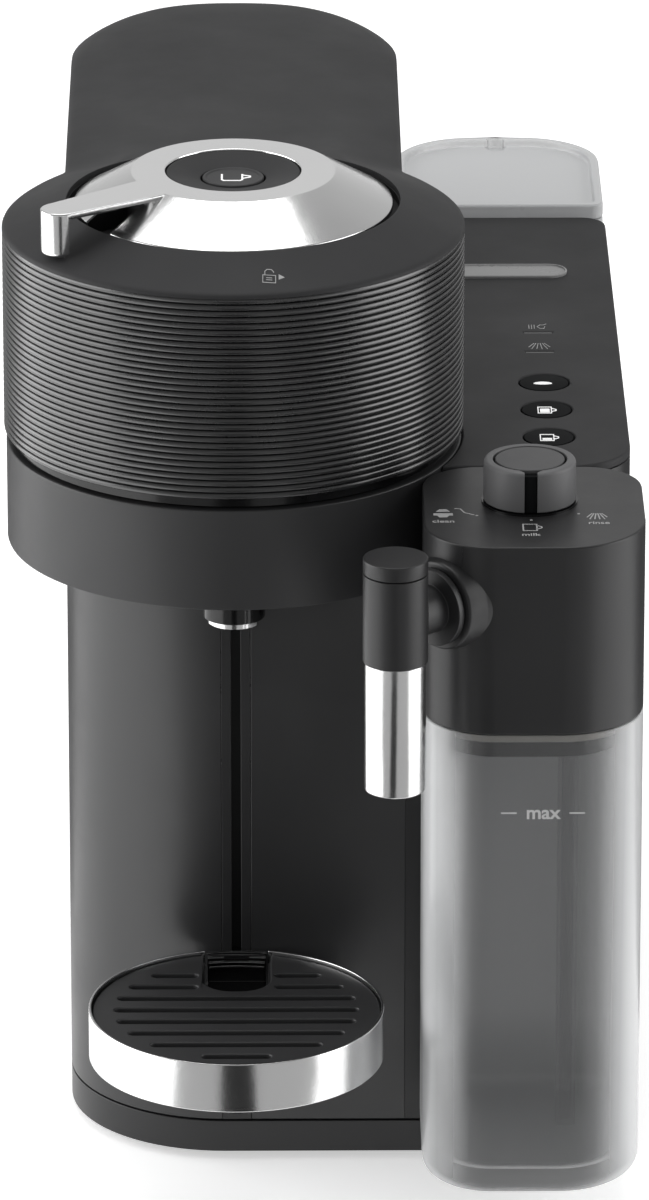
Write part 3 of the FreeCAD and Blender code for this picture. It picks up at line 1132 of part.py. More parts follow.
def tank():
    """Lift-off water tank with its valve, the socket under it, and its lid."""
    x0, x1 = at_x(S.tank_left), at_x(S.tank_right)
    y0, y1 = at_y(S.tank_front), at_y(S.tank_back)
    wall, low, rim = S.tank_wall, S.tank_low_z, S.tank_rim_z
    outside = plate(x0, x1, y0, y1, low, rim, tank_radii(0))
    inside = plate(x0 + wall, x1 - wall, y0 + wall, y1 - wall, low + wall, rim + OVER, tank_radii(wall))
    hole = rod(*TANK_VALVE, low - OVER, S.valve_radius + S.press_gap, wall + OVER * 2)
    keep("tank_body", cut(outside, inside, hole))

    x, y = TANK_VALVE
    stem, disc, head = S.valve_radius, S.valve_radius * 1.8, S.valve_radius * 0.6
    inside_z = low + wall
    keep("tank_valve", turned(x, y, [
        (0, low - S.valve_long), (stem, low - S.valve_long), (stem, inside_z), (disc, inside_z),
        (disc, inside_z + wall), (head, inside_z + wall * 4), (0, inside_z + wall * 4)]))
    bore, floor = S.valve_radius + S.bin_gap, S.socket_low_z + wall
    keep("tank_socket", turned(x, y, [
        (0, S.socket_low_z), (S.socket_radius, S.socket_low_z), (S.socket_radius, S.shelf_z),
        (bore, S.shelf_z), (bore, floor), (0, floor)]))

    inset, top = S.tank_lid_rim, S.tank_lid_z
    cover = plate(x0, x1, y0, y1, rim + S.slide_gap, top, tank_radii(0))
    dish = plate(x0 + inset, x1 - inset, y0 + inset, y1 - inset, top - S.tank_lid_dish, top + OVER,
                 tank_radii(inset))
    finger = rod(x, y1 - S.finger_radius - OVER, top - S.tank_lid_dish - OVER, S.finger_radius,
                 S.tank_lid_high)
    keep("tank_lid", cut(cover, dish, finger))


def tank_radii(inset):
    """Corner radii of the tank's plan, drawn in by a distance."""
    front, back = S.tank_front_round, S.tank_round
    return [front - inset / 2, front - inset / 2, back - inset, back - inset]


def capsule_bin():
    """Bin for used capsules, pulled out at the rear."""
    x0, x1 = at_x(-S.bin_half), at_x(S.bin_half)
    y0, y1 = at_y(S.bin_front), at_y(S.column_back)
    wall, top = S.bin_wall, S.bin_top_z
    outside = plate(x0, x1, y0, y1, S.bin_low_z, top, [S.bin_round] * 4)
    inside = plate(x0 + wall, x1 - wall, y0 + wall, y1 - wall, S.bin_low_z + wall, top + OVER,
                   [S.bin_round - wall] * 4)
    grip = box(at_x(-S.grip_half), at_x(S.grip_half), y1 - wall * 3, y1 + OVER, top - S.grip_high,
               top + OVER)
    keep("capsule_bin", cut(outside, inside, grip))


# ---------------------------------------------------------------- milk jug

def jug_radii(inset):
    """Corner radii of the milk jug's plan, drawn in by a distance."""
    return [S.jug_round_left - inset, S.jug_round_right - inset,
            S.jug_round_back - inset, S.jug_round_inner - inset]


def jug_block(inset, z0, z1):
    """The milk jug's plan, drawn in by a distance, between two heights."""
    return plate(at_x(S.jug_left) + inset, at_x(S.jug_right) - inset, at_y(S.jug_front) + inset,
                 at_y(0) - S.slide_gap - inset, z0, z1, jug_radii(inset))


def milk_jug():
    """Vessel, lid with its insert, gasket and suction tube."""
    front, rim = at_y(0), S.jug_rim_z
    left, right = at_x(S.jug_left), at_x(S.jug_right)
    ledge_deep = S.peg_long + S.ledge_skin
    ledge = box(left, right, front - ledge_deep, front + OVER, S.peg_z - S.ledge_below,
                S.peg_z + S.ledge_above)
    hollow = cut(jug_block(S.jug_wall, S.jug_low_z + S.jug_floor, rim + OVER), ledge)
    pockets = [rod(x, front - S.peg_long - OVER, S.peg_z, S.peg_radius + S.slide_gap,
                   S.peg_long + OVER * 2, "y") for x in PEGS]
    keep("milk_container", cut(jug_block(0, S.jug_low_z, rim), hollow, *pockets))

    lid_low, axis = rim + S.slide_gap, (*SWIVEL, S.swivel_z)
    port = rod(at_x(S.nozzle_x), front - S.wall * 2, S.nozzle_z, S.nozzle_bore + S.bin_gap,
               S.wall * 3, "y")
    shaft_hole = rod(at_x(S.knob_x), at_y(S.knob_y), S.deck_z - S.deck_thick - OVER,
                     S.knob_shaft + S.running_fit, S.deck_thick + OVER * 2)
    lid_hollow = jug_block(S.wall, lid_low - OVER, S.deck_z - S.deck_thick)
    lid_wall = cut(jug_block(0, lid_low, S.deck_z), lid_hollow)
    hub_boss = S.hub_inside + S.wall * 4
    boss = common(diagonal_rod(*axis, S.swivel_radius + OVER, hub_boss * 2, -hub_boss),
                  jug_block(0, lid_low, S.deck_z - OVER))
    boss_bore = diagonal_rod(*axis, S.swivel_bore, hub_boss * 3, -hub_boss * 2)
    keep("milk_lid", cut(fuse(lid_wall, boss), port, shaft_hole, boss_bore))

    inset = S.jug_wall + S.insert_gap
    low = rim - S.insert_deep
    step_back = box(left, right, front - ledge_deep - S.tank_wall, front + OVER, low - OVER,
                    low + S.insert_gap)
    plug = cut(jug_block(inset, low, rim + OVER * 1.5), step_back)
    flange = jug_block(S.wall + S.press_gap * 2, rim + OVER / 2, rim + S.insert_gap)
    well = jug_block(inset + S.insert_wall, low + S.insert_wall, rim + S.insert_gap + OVER)
    keep("lid_insert", cut(fuse(plug, flange), well))
    keep("suction_tube", tube(left + S.suction_inset, at_y(S.jug_front) + S.suction_behind,
                              S.jug_low_z + S.jug_floor + S.suction_lift, low,
                              S.suction_radius, S.suction_bore))
    gasket = jug_block(S.jug_wall + S.slide_gap, rim - S.insert_gap, rim - S.press_gap * 2)
    keep("lid_gasket", cut(gasket, jug_block(inset, rim - S.insert_deep, rim + OVER)))


def froth_knob():
    """Knob on the jug's lid, in a ring, with a dark core that shows as its pointer."""
    x, y = at_x(S.knob_x), at_y(S.knob_y)
    ring_top, top, radius = S.deck_z + S.knob_ring_high, S.knob_top_z, S.knob_radius
    keep("knob_base_ring", tube(x, y, S.deck_z, ring_top, S.knob_ring_radius, S.knob_shaft * 1.5))
    low, bore = ring_top + S.slide_gap, S.knob_shaft + S.running_fit
    cap, seat, bevel = S.knob_cap_radius + S.running_fit, top - S.knob_cap_thick, S.knob_bevel
    edge = top - S.press_gap * 2
    grip = turned(x, y, [
        (bore, low), (radius, low), (radius, top - bevel), (radius - bevel, edge), (cap, edge),
        (cap, seat), (bore, seat)])
    half = S.pointer_wide / 2
    pointer = box(x - half, x + half, y - radius - OVER, y - S.knob_shaft / 2, low + S.wall, top + OVER)
    keep("knob_grip", cut(grip, pointer))
    disc = rod(x, y, seat, S.knob_cap_radius, S.knob_cap_thick)
    shaft_low = S.deck_z - S.deck_thick * 3
    shaft = rod(x, y, shaft_low, S.knob_shaft, seat + OVER - shaft_low)
    thin = half - S.press_gap * 2
    blade = box(x - thin, x + thin, y - radius + S.bin_gap, y, low + S.wall + S.press_gap, top - OVER)
    keep("knob_core", fuse(disc, shaft, blade))


def diagonal_rod(x, y, z, radius, length, start):
    """A level round bar towards the front left, from a distance along that line."""
    bar = doc.addObject("Part::Cylinder", "Rod")
    bind(bar, "Radius", radius)
    bind(bar, "Height", length)
    direction = FreeCAD.Rotation(V(0, 0, 1), V(-DIAGONAL, -DIAGONAL, 0))
    bar.Placement = FreeCAD.Placement(V(0, 0, 0), direction)
    along = dim(start) * DIAGONAL
    for prop, value in zip("xyz", (x - along, y - along, z)):
        bind(bar, f"Placement.Base.{prop}", value)
    return bar


def milk_spout():
    """Spout that swings towards the cup on a level axis through the jug's front left corner."""
    x, y = SPOUT
    axis, radius, neck_start = (*SWIVEL, S.swivel_z), S.spout_radius, S.flare_thick
    seam, cap_low, groove = S.spout_seam_z, S.spout_top_z - S.spout_cap_high, S.spout_groove
    upper = rod(x, y, seam, radius, cap_low - groove - seam)
    neck = diagonal_rod(*axis, S.swivel_neck, S.swivel_reach - neck_start, neck_start)
    hub = diagonal_rod(*axis, S.swivel_bore - S.running_fit, S.hub_inside + neck_start + OVER,
                       -S.hub_inside)
    flare = diagonal_rod(*axis, S.swivel_radius - S.flare_thick, S.flare_thick, neck_start)
    keep("milk_spout_body", fuse(upper, neck, hub, flare))
    keep("milk_spout_cap", fuse(rod(x, y, cap_low, radius, S.spout_cap_high),
                                rod(x, y, cap_low - groove, radius - groove * 1.5, groove)))
    outer = radius - S.spout_tube_step
    keep("milk_spout_tube", tube(x, y, S.spout_low_z, seam, outer, outer - S.spout_tube_wall))
    ring = diagonal_rod(*axis, S.swivel_radius, S.spout_radius, S.tank_wall - S.spout_radius)
    outside = cut(ring, jug_block(0, S.jug_rim_z, S.deck_z))
    bore = diagonal_rod(*axis, S.swivel_bore, S.hub_inside * 2, -S.hub_inside)
    keep("swivel_ring", cut(outside, bore))


def write_parts():
    """Checks the whole document, then writes one file for each sub-part."""
    doc.recompute()
    bad = [f"{obj.Label}: {obj.State}" for obj in doc.Objects if {"Invalid", "Error"} & set(obj.State)]
    for label, obj in parts.items():
        shape = obj.Shape
        if shape.isNull() or not shape.isValid() or not shape.Solids:
            bad.append(f"{label}: no valid solid")
    if bad:
        raise RuntimeError("; ".join(bad))
    os.makedirs("parts", exist_ok=True)
    for label, obj in parts.items():
        obj.Shape.exportStep(f"parts/{label}.step")
    box_all = Part.makeCompound([obj.Shape for obj in parts.values()]).BoundBox
    print(len(parts), "sub-parts", box_all)


base()
column()
right_side()
neck()
inner_frame()
spinner()
coffee_way()
boilers()
control_board()
head()
head_middle()
lever()
recipe_buttons()
tray()
tank()
capsule_bin()
milk_jug()
froth_knob()
milk_spout()
write_parts()
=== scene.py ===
import json
import math

import bmesh
import bpy
import numpy
from mathutils import Euler, Matrix, Vector

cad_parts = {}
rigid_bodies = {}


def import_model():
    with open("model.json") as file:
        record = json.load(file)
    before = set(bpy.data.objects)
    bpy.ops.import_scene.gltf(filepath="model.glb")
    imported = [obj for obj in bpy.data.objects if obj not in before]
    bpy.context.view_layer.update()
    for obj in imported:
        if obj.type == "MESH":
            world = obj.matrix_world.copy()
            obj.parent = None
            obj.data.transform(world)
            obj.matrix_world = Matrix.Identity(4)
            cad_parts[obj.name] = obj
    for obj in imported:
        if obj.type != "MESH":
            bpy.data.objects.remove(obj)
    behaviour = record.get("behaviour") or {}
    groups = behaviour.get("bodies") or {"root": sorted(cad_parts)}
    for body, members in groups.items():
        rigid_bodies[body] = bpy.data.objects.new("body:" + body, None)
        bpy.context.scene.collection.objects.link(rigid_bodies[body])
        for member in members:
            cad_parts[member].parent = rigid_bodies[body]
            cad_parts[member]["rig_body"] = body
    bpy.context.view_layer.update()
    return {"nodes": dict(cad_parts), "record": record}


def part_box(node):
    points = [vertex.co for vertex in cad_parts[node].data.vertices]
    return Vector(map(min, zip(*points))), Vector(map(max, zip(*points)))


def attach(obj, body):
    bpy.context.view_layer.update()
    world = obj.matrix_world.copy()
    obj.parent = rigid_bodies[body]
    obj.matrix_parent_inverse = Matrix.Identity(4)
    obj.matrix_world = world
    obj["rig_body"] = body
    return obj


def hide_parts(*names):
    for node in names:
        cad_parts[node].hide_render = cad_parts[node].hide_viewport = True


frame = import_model()

bl_info = {
    "name": "Pod coffee machine looks",
    "version": (1, 0, 0),
    "blender": (4, 5, 0),
    "location": "3D View > Sidebar > Coffee machine",
    "description": "Finishes and detailed pieces for the pod coffee machine",
    "category": "Object",
}

MM = 0.001
# The brewing axis and the front wall, from which every place is counted in millimetres.
DISC_LOW, DISC_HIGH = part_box("centre_disc")
AXIS_X = (DISC_LOW.x + DISC_HIGH.x) / 2
AXIS_Y = (DISC_LOW.y + DISC_HIGH.y) / 2
FRONT_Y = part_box("column_shell")[0].y
DRUM_Y = (AXIS_Y - FRONT_Y) / MM


def spot(x, y, z):
    """A point in metres, from millimetres beside the brewing axis, behind the front wall, above the feet."""
    return Vector((AXIS_X + x * MM, FRONT_Y + y * MM, z * MM))


def edge(node, side):
    """One side of a CAD node's box in millimetres: left, right, front, back, low or top."""
    low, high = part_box(node)
    return {"left": (low.x - AXIS_X) / MM, "right": (high.x - AXIS_X) / MM,
            "front": (low.y - FRONT_Y) / MM, "back": (high.y - FRONT_Y) / MM,
            "low": low.z / MM, "top": high.z / MM}[side]


def centre_of(node):
    """The centre of a CAD node's box in plan, in millimetres."""
    return ((edge(node, "left") + edge(node, "right")) / 2, (edge(node, "front") + edge(node, "back")) / 2)


def linear(code):
    """A linear RGBA colour from an sRGB hex value."""
    parts = [int(code[i:i + 2], 16) / 255 for i in (1, 3, 5)]
    return (*[p / 12.92 if p <= 0.04045 else ((p + 0.055) / 1.055) ** 2.4 for p in parts], 1.0)


# ---------------------------------------------------------------- finishes

def add(tree, kind, inputs=None, **settings):
    """Add one node, set its properties and its inputs: a value, or a socket to link from."""
    node = tree.nodes.new(kind)
    for name, value in settings.items():
        setattr(node, name, value)
    for key, value in (inputs or {}).items():
        socket = node.inputs[key]
        if isinstance(value, bpy.types.NodeSocket):
            tree.links.new(value, socket)
        else:
            socket.default_value = value
    return node


def blank(name):
    """A new material without nodes, and its tree."""
    material = bpy.data.materials.new(name)
    material.use_nodes = True
    material.node_tree.nodes.clear()
    return material, material.node_tree


def scaled(colour, factor):
    """A colour made lighter or darker."""
    return (*[min(1.0, part * factor) for part in colour[:3]], 1.0)


def surface(name, colour, roughness, grain, depth, spread=0.1, wander=0.06, stretch=(1, 1, 1), **shader):
    """A procedural finish: an even grain of a real size, with shade and shine that wander a little.

    The grain is in millimetres. Constants for the shader go straight to its own sockets.
    """
    material, tree = blank(name)
    place = add(tree, "ShaderNodeTexCoord")
    drawn = add(tree, "ShaderNodeMapping", {"Vector": place.outputs["Object"], "Scale": stretch})
    fine = add(tree, "ShaderNodeTexNoise", {"Vector": drawn.outputs["Vector"], "Scale": 1 / (grain * MM),
                                            "Detail": 3.0, "Roughness": 0.6})
    broad = add(tree, "ShaderNodeTexNoise", {"Vector": drawn.outputs["Vector"], "Scale": 26.0,
                                             "Detail": 5.0, "Roughness": 0.6})
    mixed = add(tree, "ShaderNodeMath", {0: fine.outputs["Fac"], 1: broad.outputs["Fac"]},
                operation="ADD")
    share = add(tree, "ShaderNodeMath", {0: mixed.outputs[0], 1: 0.5}, operation="MULTIPLY")
    shade = add(tree, "ShaderNodeMix", {"Factor": share.outputs[0], "A": scaled(colour, 1 - spread),
                                        "B": scaled(colour, 1 + spread)}, data_type="RGBA")
    shine = add(tree, "ShaderNodeMapRange", {"Value": broad.outputs["Fac"], "From Min": 0.3,
                "From Max": 0.7, "To Min": max(0.0, roughness - wander), "To Max": roughness + wander})
    bump = add(tree, "ShaderNodeBump", {"Height": fine.outputs["Fac"], "Strength": depth,
                                        "Distance": grain * MM * 0.25})
    finish = add(tree, "ShaderNodeBsdfPrincipled", {"Base Color": shade.outputs["Result"],
                 "Roughness": shine.outputs["Result"], "Normal": bump.outputs["Normal"]})
    for key, value in shader.items():
        finish.inputs[key.replace("_", " ")].default_value = value
    add(tree, "ShaderNodeOutputMaterial", {"Surface": finish.outputs["BSDF"]})
    return material


def see_through(material, face_on, edge_on, vessel=None, pale=None, rear_light_density=0.85):
    """Let a finish show what is behind it: clear face on and denser edge on.

    A vessel is also painted denser towards its rear, as painted light that comes in through its rear wall,
    and paler and denser in the corners at its two sides, as a painted highlight.
    """
    tree = material.node_tree
    finish = next(node for node in tree.nodes if node.type == "BSDF_PRINCIPLED")
    tilt = add(tree, "ShaderNodeLayerWeight", {"Blend": 0.5})
    dense = add(tree, "ShaderNodeMapRange", {"Value": tilt.outputs["Facing"], "From Min": 0.15,
                "From Max": 0.7, "To Min": face_on, "To Max": edge_on}, interpolation_type="SMOOTHSTEP")
    result = dense.outputs["Result"]
    if vessel:
        # Painted light: denser towards the rear wall, so that the wall shows lighter, as if lit from behind.
        rear_light_start, rear_light_full = edge(vessel, "front") + 22, edge(vessel, "back") - 12
        middle = centre_of(vessel)[0]
        half = edge(vessel, "right") - middle
        highlight_start, highlight_full, highlight_mist = half * 0.4 * MM, half * 0.9 * MM, 0.6
        place = add(tree, "ShaderNodeTexCoord")
        split = add(tree, "ShaderNodeSeparateXYZ", {"Vector": place.outputs["Object"]})
        painted_rear_light = add(tree, "ShaderNodeMapRange", {
            "Value": split.outputs["Y"], "From Min": spot(0, rear_light_start, 0).y,
            "From Max": spot(0, rear_light_full, 0).y, "To Min": 0.0, "To Max": rear_light_density})
        aside = add(tree, "ShaderNodeMath", {0: split.outputs["X"], 1: spot(middle, 0, 0).x},
                    operation="SUBTRACT")
        reach = add(tree, "ShaderNodeMath", {0: aside.outputs[0]}, operation="ABSOLUTE")
        # Painted highlight: the corners at the two sides are tinted paler and made denser, in place of the
        # reflections down the rounded corners.
        highlight_share = add(tree, "ShaderNodeMapRange", {
            "Value": reach.outputs[0], "From Min": highlight_start, "From Max": highlight_full,
            "To Min": 0.0, "To Max": 1.0}, interpolation_type="SMOOTHSTEP")
        plain = finish.inputs["Base Color"].links[0].from_socket
        painted_highlight = add(tree, "ShaderNodeMix", {"Factor": highlight_share.outputs["Result"], "A": plain, "B": pale},
                   data_type="RGBA")
        tree.links.new(painted_highlight.outputs["Result"], finish.inputs["Base Color"])
        result = add(tree, "ShaderNodeMath", {0: result, 1: painted_rear_light.outputs["Result"]},
                     operation="MAXIMUM").outputs[0]
        highlight_density = add(tree, "ShaderNodeMath", {0: highlight_share.outputs["Result"], 1: highlight_mist},
                    operation="MULTIPLY")
        result = add(tree, "ShaderNodeMath", {0: result, 1: highlight_density.outputs[0]},
                     operation="MAXIMUM").outputs[0]
    tree.links.new(result, finish.inputs["Alpha"])
    return material


def colour_setting(name, description, code):
    """A colour of the add-on, from an sRGB hex value."""
    return bpy.props.FloatVectorProperty(name=name, description=description, size=4, min=0, max=1,
                                         subtype="COLOR", default=linear(code))


def length_setting(name, description, default):
    """A small length of the add-on, in metres."""
    return bpy.props.FloatProperty(name=name, description=description, default=default, min=0.0001,
                                   unit="LENGTH", precision=5)


def share_setting(name, description, default, least=0):
    """A share of the add-on, up to 1."""
    return bpy.props.FloatProperty(name=name, description=description, default=default, min=least, max=1,
                                   subtype="FACTOR")


def power_setting(name, description, default):
    """A lamp's power, in watts."""
    return bpy.props.FloatProperty(name=name, description=description, default=default, min=0, unit="POWER")


class CoffeeColours(bpy.types.PropertyGroup):
    """Colours of the finishes."""

    cover: colour_setting("Cover", "Fine matt cover of the head and the deck", "#313132")
    drum: colour_setting("Drum", "Ribbed sleeve of the head", "#1c1c1d")
    housing: colour_setting("Housing", "Satin side walls and base", "#232324")
    neck: colour_setting("Neck", "Fixed lower part of the head", "#2e2e2f")
    column: colour_setting("Column", "Front of the column", "#29292a")
    gloss: colour_setting("Gloss black", "Polished black pieces", "#101011")
    chrome: colour_setting("Chrome", "Plated pieces", "#f2f2f2")
    knob: colour_setting("Knob", "Froth knob", "#606061")
    jug: colour_setting("Jug", "Smoked clear vessel", "#9c9d9e")
    tank: colour_setting("Tank", "Clear water tank", "#c6c7c8")
    print_grey: colour_setting("Printing", "Grey printed marks", "#a4a4a4")
    lit: colour_setting("Lit signs", "Signs that light up", "#f2f2f2")


class CoffeeSizes(bpy.types.PropertyGroup):
    """Sizes of the detail."""

    ribs: bpy.props.IntProperty(name="Ribs", description="Ribs round the drum", default=32, min=2, max=80)
    rib_depth: length_setting("Rib depth", "How far a rib stands out", 0.00042)
    rib_share: share_setting("Rib share", "Part of the pitch that a rib takes", 0.86, 0.2)
    line: length_setting("Line width", "Line width of the printed signs", 0.0005)
    rounding: length_setting("Edge rounding", "Rounding of moulded edges", 0.0006)


class CoffeeStage(bpy.types.PropertyGroup):
    """Light and camera."""

    ambient: share_setting("Ambient", "Light from all round", 0.42)
    reflected: share_setting("Reflected", "Background that gloss shows", 0.42)
    sides_shade: share_setting("Sides", "Share of it that the room's sides keep", 0.75)
    floor_lift: share_setting("Floor lift", "Added to the floor as background", 0.5)
    card_shade: share_setting("Card shade", "Level of the card before the front", 0.4)
    side_power: power_setting("Side lamps", "Power of the left softbox, of which the right has 0.55", 21.0)
    top_power: power_setting("Top lamp", "Power of the top softbox", 11.0)
    focal_length: bpy.props.FloatProperty(name="Focal length", description="Lens of the camera",
                                          default=281.5, min=1, unit="CAMERA")


def mix_finishes(c):
    """Make every finish, under its material's name, and return them by the record's slot."""
    return {
        # Moulded ABS with a fine spark-eroded skin: dull, even, with a soft broad highlight.
        "deck_black": surface("ABS matt moulded cover", c.cover, 0.55, 0.5, 0.12, Specular_IOR_Level=0.2),
        "black_satin": surface("ABS satin moulded housing", c.housing, 0.38, 0.6, 0.1),
        "neck_grey": surface("ABS satin moulded neck", c.neck, 0.42, 0.6, 0.1),
        "column_grey": surface("ABS satin moulded column", c.column, 0.36, 0.6, 0.08,
                               Specular_IOR_Level=0.65),
        "start_key": surface("ABS dull start button", linear("#3a3a3b"), 0.5, 0.6, 0.08,
                             Specular_IOR_Level=0.25),
        # Push buttons: black ABS with a fine dull skin that takes no bright reflections.
        "button_black": surface("ABS dull button", linear("#141516"), 0.6, 0.6, 0.08,
                                Specular_IOR_Level=0.06),
        # High-gloss ABS from a polished tool: near black with sharp highlights on each rib.
        "drum_black": surface("ABS gloss ribbed sleeve", c.drum, 0.28, 1.2, 0.04, Specular_IOR_Level=0.8,
                              Coat_Weight=0.6, Coat_Roughness=0.2),
        "gloss_black": surface("ABS polished black", c.gloss, 0.16, 2.0, 0.02, wander=0.03),
        "rail_black": surface("ABS satin rail", linear("#262627"), 0.4, 0.6, 0.06),
        # Bright chrome plate on ABS: mirror-like, with the slight waviness of plating.
        "chrome_plate": surface("chrome plate on ABS", c.chrome, 0.19, 6.0, 0.03, spread=0.02,
                                wander=0.03, Metallic=1.0),
        # Soft-touch polycarbonate knob: mid grey and dull.
        "knob_grey": surface("PC soft matt knob", c.knob, 0.5, 0.5, 0.12),
        # Smoked copolyester vessel: clear in front; its corners are painted paler and denser as a painted
        # highlight, and it grows denser towards its rear wall as painted light from behind.
        "jug_clear": see_through(surface("copolyester smoked clear", c.jug, 0.22, 3.0, 0.02, spread=0.04,
                                         wander=0.03, IOR=1.6, Specular_IOR_Level=1.0), 0.14, 0.95,
                                 "milk_container", linear("#d2d3d4")),
        # Clear copolyester tank: lighter, a little frosted by its texture.
        "tank_clear": see_through(surface("copolyester clear frosted", c.tank, 0.32, 0.8, 0.08, spread=0.03,
                                          wander=0.05, IOR=1.52), 0.5, 0.95),
        # Milk tube: soft clear silicone, hardly to be seen inside the vessel.
        "tube_clear": see_through(surface("silicone clear tube", linear("#8a8b8c"), 0.35, 1.0, 0.03,
                                          spread=0.02), 0.03, 0.12),
        "lens": surface("PC smoked lens", linear("#4a4a4a"), 0.2, 1.0, 0.02),
        # Rubber feet and cord grommet: dull black with a chalky bloom.
        "rubber_black": surface("nitrile rubber black", linear("#1b1b1b"), 0.75, 0.4, 0.25),
        "silicone": surface("silicone translucent", linear("#b9b5ad"), 0.4, 1.0, 0.05,
                            Transmission_Weight=0.3),
        # Turned steel: fine rings round the axis read as a soft streak.
        "steel": surface("steel turned bright", linear("#b4b4b2"), 0.3, 0.6, 0.1, Metallic=1.0,
                         stretch=(1, 1, 12)),
        "alloy": surface("aluminium die cast", linear("#a3a5a6"), 0.5, 0.9, 0.3, Metallic=1.0),
        "inner_plastic": surface("polypropylene moulded natural", linear("#6c6c6a"), 0.5, 0.8, 0.1),
        "circuit": surface("glass epoxy board", linear("#1d5a35"), 0.35, 1.2, 0.1),
        # Drip grid: black ABS with a dull, slightly scuffed skin.
        "grid": surface("ABS dull moulded grid", linear("#343435"), 0.45, 0.5, 0.12),
        "knob_core": surface("ABS matt moulded core", linear("#4a4a4b"), 0.5, 0.5, 0.1),
        "badge": surface("ABS gloss badge plate", linear("#8a8a8a"), 0.25, 1.0, 0.03),
        "printing": surface("screen print grey", c.print_grey, 0.55, 0.4, 0.05),
        "pale_print": surface("screen print pale", linear("#c4c4c4"), 0.55, 0.4, 0.05),
        "lit": surface("lit sign ink", c.lit, 0.5, 0.5, 0.02, Emission_Color=c.lit,
                       Emission_Strength=0.35),
    }


# ---------------------------------------------------------------- shapes

def rounded_outline(x0, x1, y0, y1, radii, steps=16):
    """Outline in plan with corner radii front left, front right, rear right, rear left."""
    corners = [(x0, y0, 1, 1, 180), (x1, y0, -1, 1, 270), (x1, y1, -1, -1, 0), (x0, y1, 1, -1, 90)]
    points = []
    for (x, y, sx, sy, start), radius in zip(corners, radii):
        if radius <= 0:
            points.append((x, y))
            continue
        cx, cy = x + sx * radius, y + sy * radius
        for i in range(steps + 1):
            angle = math.radians(start + 90 * i / steps)
            points.append((cx + radius * math.cos(angle), cy + radius * math.sin(angle)))
    return points


def drawn_in(points, distance):
    """The same outline moved inwards by a distance, for an outline that runs counterclockwise."""
    moved = []
    count = len(points)
    for i, point in enumerate(points):
        before, after = Vector(points[i - 1]), Vector(points[(i + 1) % count])
        here = Vector(point)
        first, second = (here - before), (after - here)
        if first.length < 1e-9 or second.length < 1e-9:
            first = second = after - before
        normal = (Vector((-first.y, first.x)).normalized() + Vector((-second.y, second.x)).normalized())
        normal.normalize()
        lean = max(0.5, normal.dot(Vector((-second.y, second.x)).normalized()))
        moved.append(tuple(here + normal * distance / lean))
    return moved


def softened_profile(points, radius, steps=4):
    """A closed outline with each corner rounded; a radius may be given as the third number of a point."""
    result = []
    count = len(points)
    for i, point in enumerate(points):
        here = Vector(point[:2])
        before, after = Vector(points[i - 1][:2]), Vector(points[(i + 1) % count][:2])
        size = point[2] if len(point) > 2 else radius
        to_before, to_after = before - here, after - here
        angle = to_before.angle(to_after, math.pi)
        if size <= 0 or angle > math.radians(177):
            result.append(tuple(here))
            continue
        reach = min(size / math.tan(angle / 2), to_before.length * 0.45, to_after.length * 0.45)
        start, end = here + to_before.normalized() * reach, here + to_after.normalized() * reach
        for k in range(steps + 1):
            t = k / steps
            result.append(tuple(start * (1 - t) ** 2 + here * 2 * t * (1 - t) + end * t * t))
    return result


def lathe(profile, x, y, segments=128):
    """Mesh data of a profile of (radius, height) turned about an upright axis."""
    verts, faces, rings = [], [], []
    for radius, height in profile:
        if radius < 1e-6:
            rings.append([len(verts)])
            verts.append(spot(x, y, height))
            continue
        ring = []
        for k in range(segments):
            angle = 2 * math.pi * k / segments
            ring.append(len(verts))
            verts.append(spot(x + radius * math.cos(angle), y + radius * math.sin(angle), height))
        rings.append(ring)
    for i, ring in enumerate(rings):
        other = rings[(i + 1) % len(rings)]
        for k in range(segments):
            n = (k + 1) % segments
            corners = [ring[k % len(ring)], ring[n % len(ring)], other[n % len(other)], other[k % len(other)]]
            unique = list(dict.fromkeys(corners))
            if len(unique) > 2:
                faces.append(unique)
    return verts, faces


def stack(layers, close=True):
    """Mesh data of a solid from outlines of equal length, each with its height."""
    verts, faces = [], []
    count = len(layers[0][0])
    for outline, height in layers:
        for k, (x, y) in enumerate(outline):
            z = height[k] if isinstance(height, (list, tuple)) else height
            verts.append(spot(x, y, z))
    for layer in range(len(layers) - 1):
        for k in range(count):
            n = (k + 1) % count
            a, b = layer * count, (layer + 1) * count
            faces.append([a + k, a + n, b + n, b + k])
    if close:
        faces.append(list(range(count))[::-1])
        faces.append([(len(layers) - 1) * count + k for k in range(count)])
    return verts, faces


def block(outline, low, top, round_low=0, round_top=0, steps=4):
    """Mesh data of an upright solid with rounded lower and upper edges."""
    turns = [math.radians(90 * k / steps) for k in range(steps + 1)]
    layers = []
    for angle in turns[::-1] if round_low else ():
        inset = drawn_in(outline, round_low * (1 - math.cos(angle)))
        layers.append((inset, low + round_low * (1 - math.sin(angle))))
    if not round_low:
        layers.append((outline, low))
    for angle in turns if round_top else ():
        inset = drawn_in(outline, round_top * (1 - math.cos(angle)))
        layers.append((inset, top - round_top * (1 - math.sin(angle))))
    if not round_top:
        layers.append((outline, top))
    return stack(layers)


def finish(slot):
    """The finish that was mixed for a slot."""
    return next(m for m in bpy.data.materials if m.get("coffee_slot") == slot)


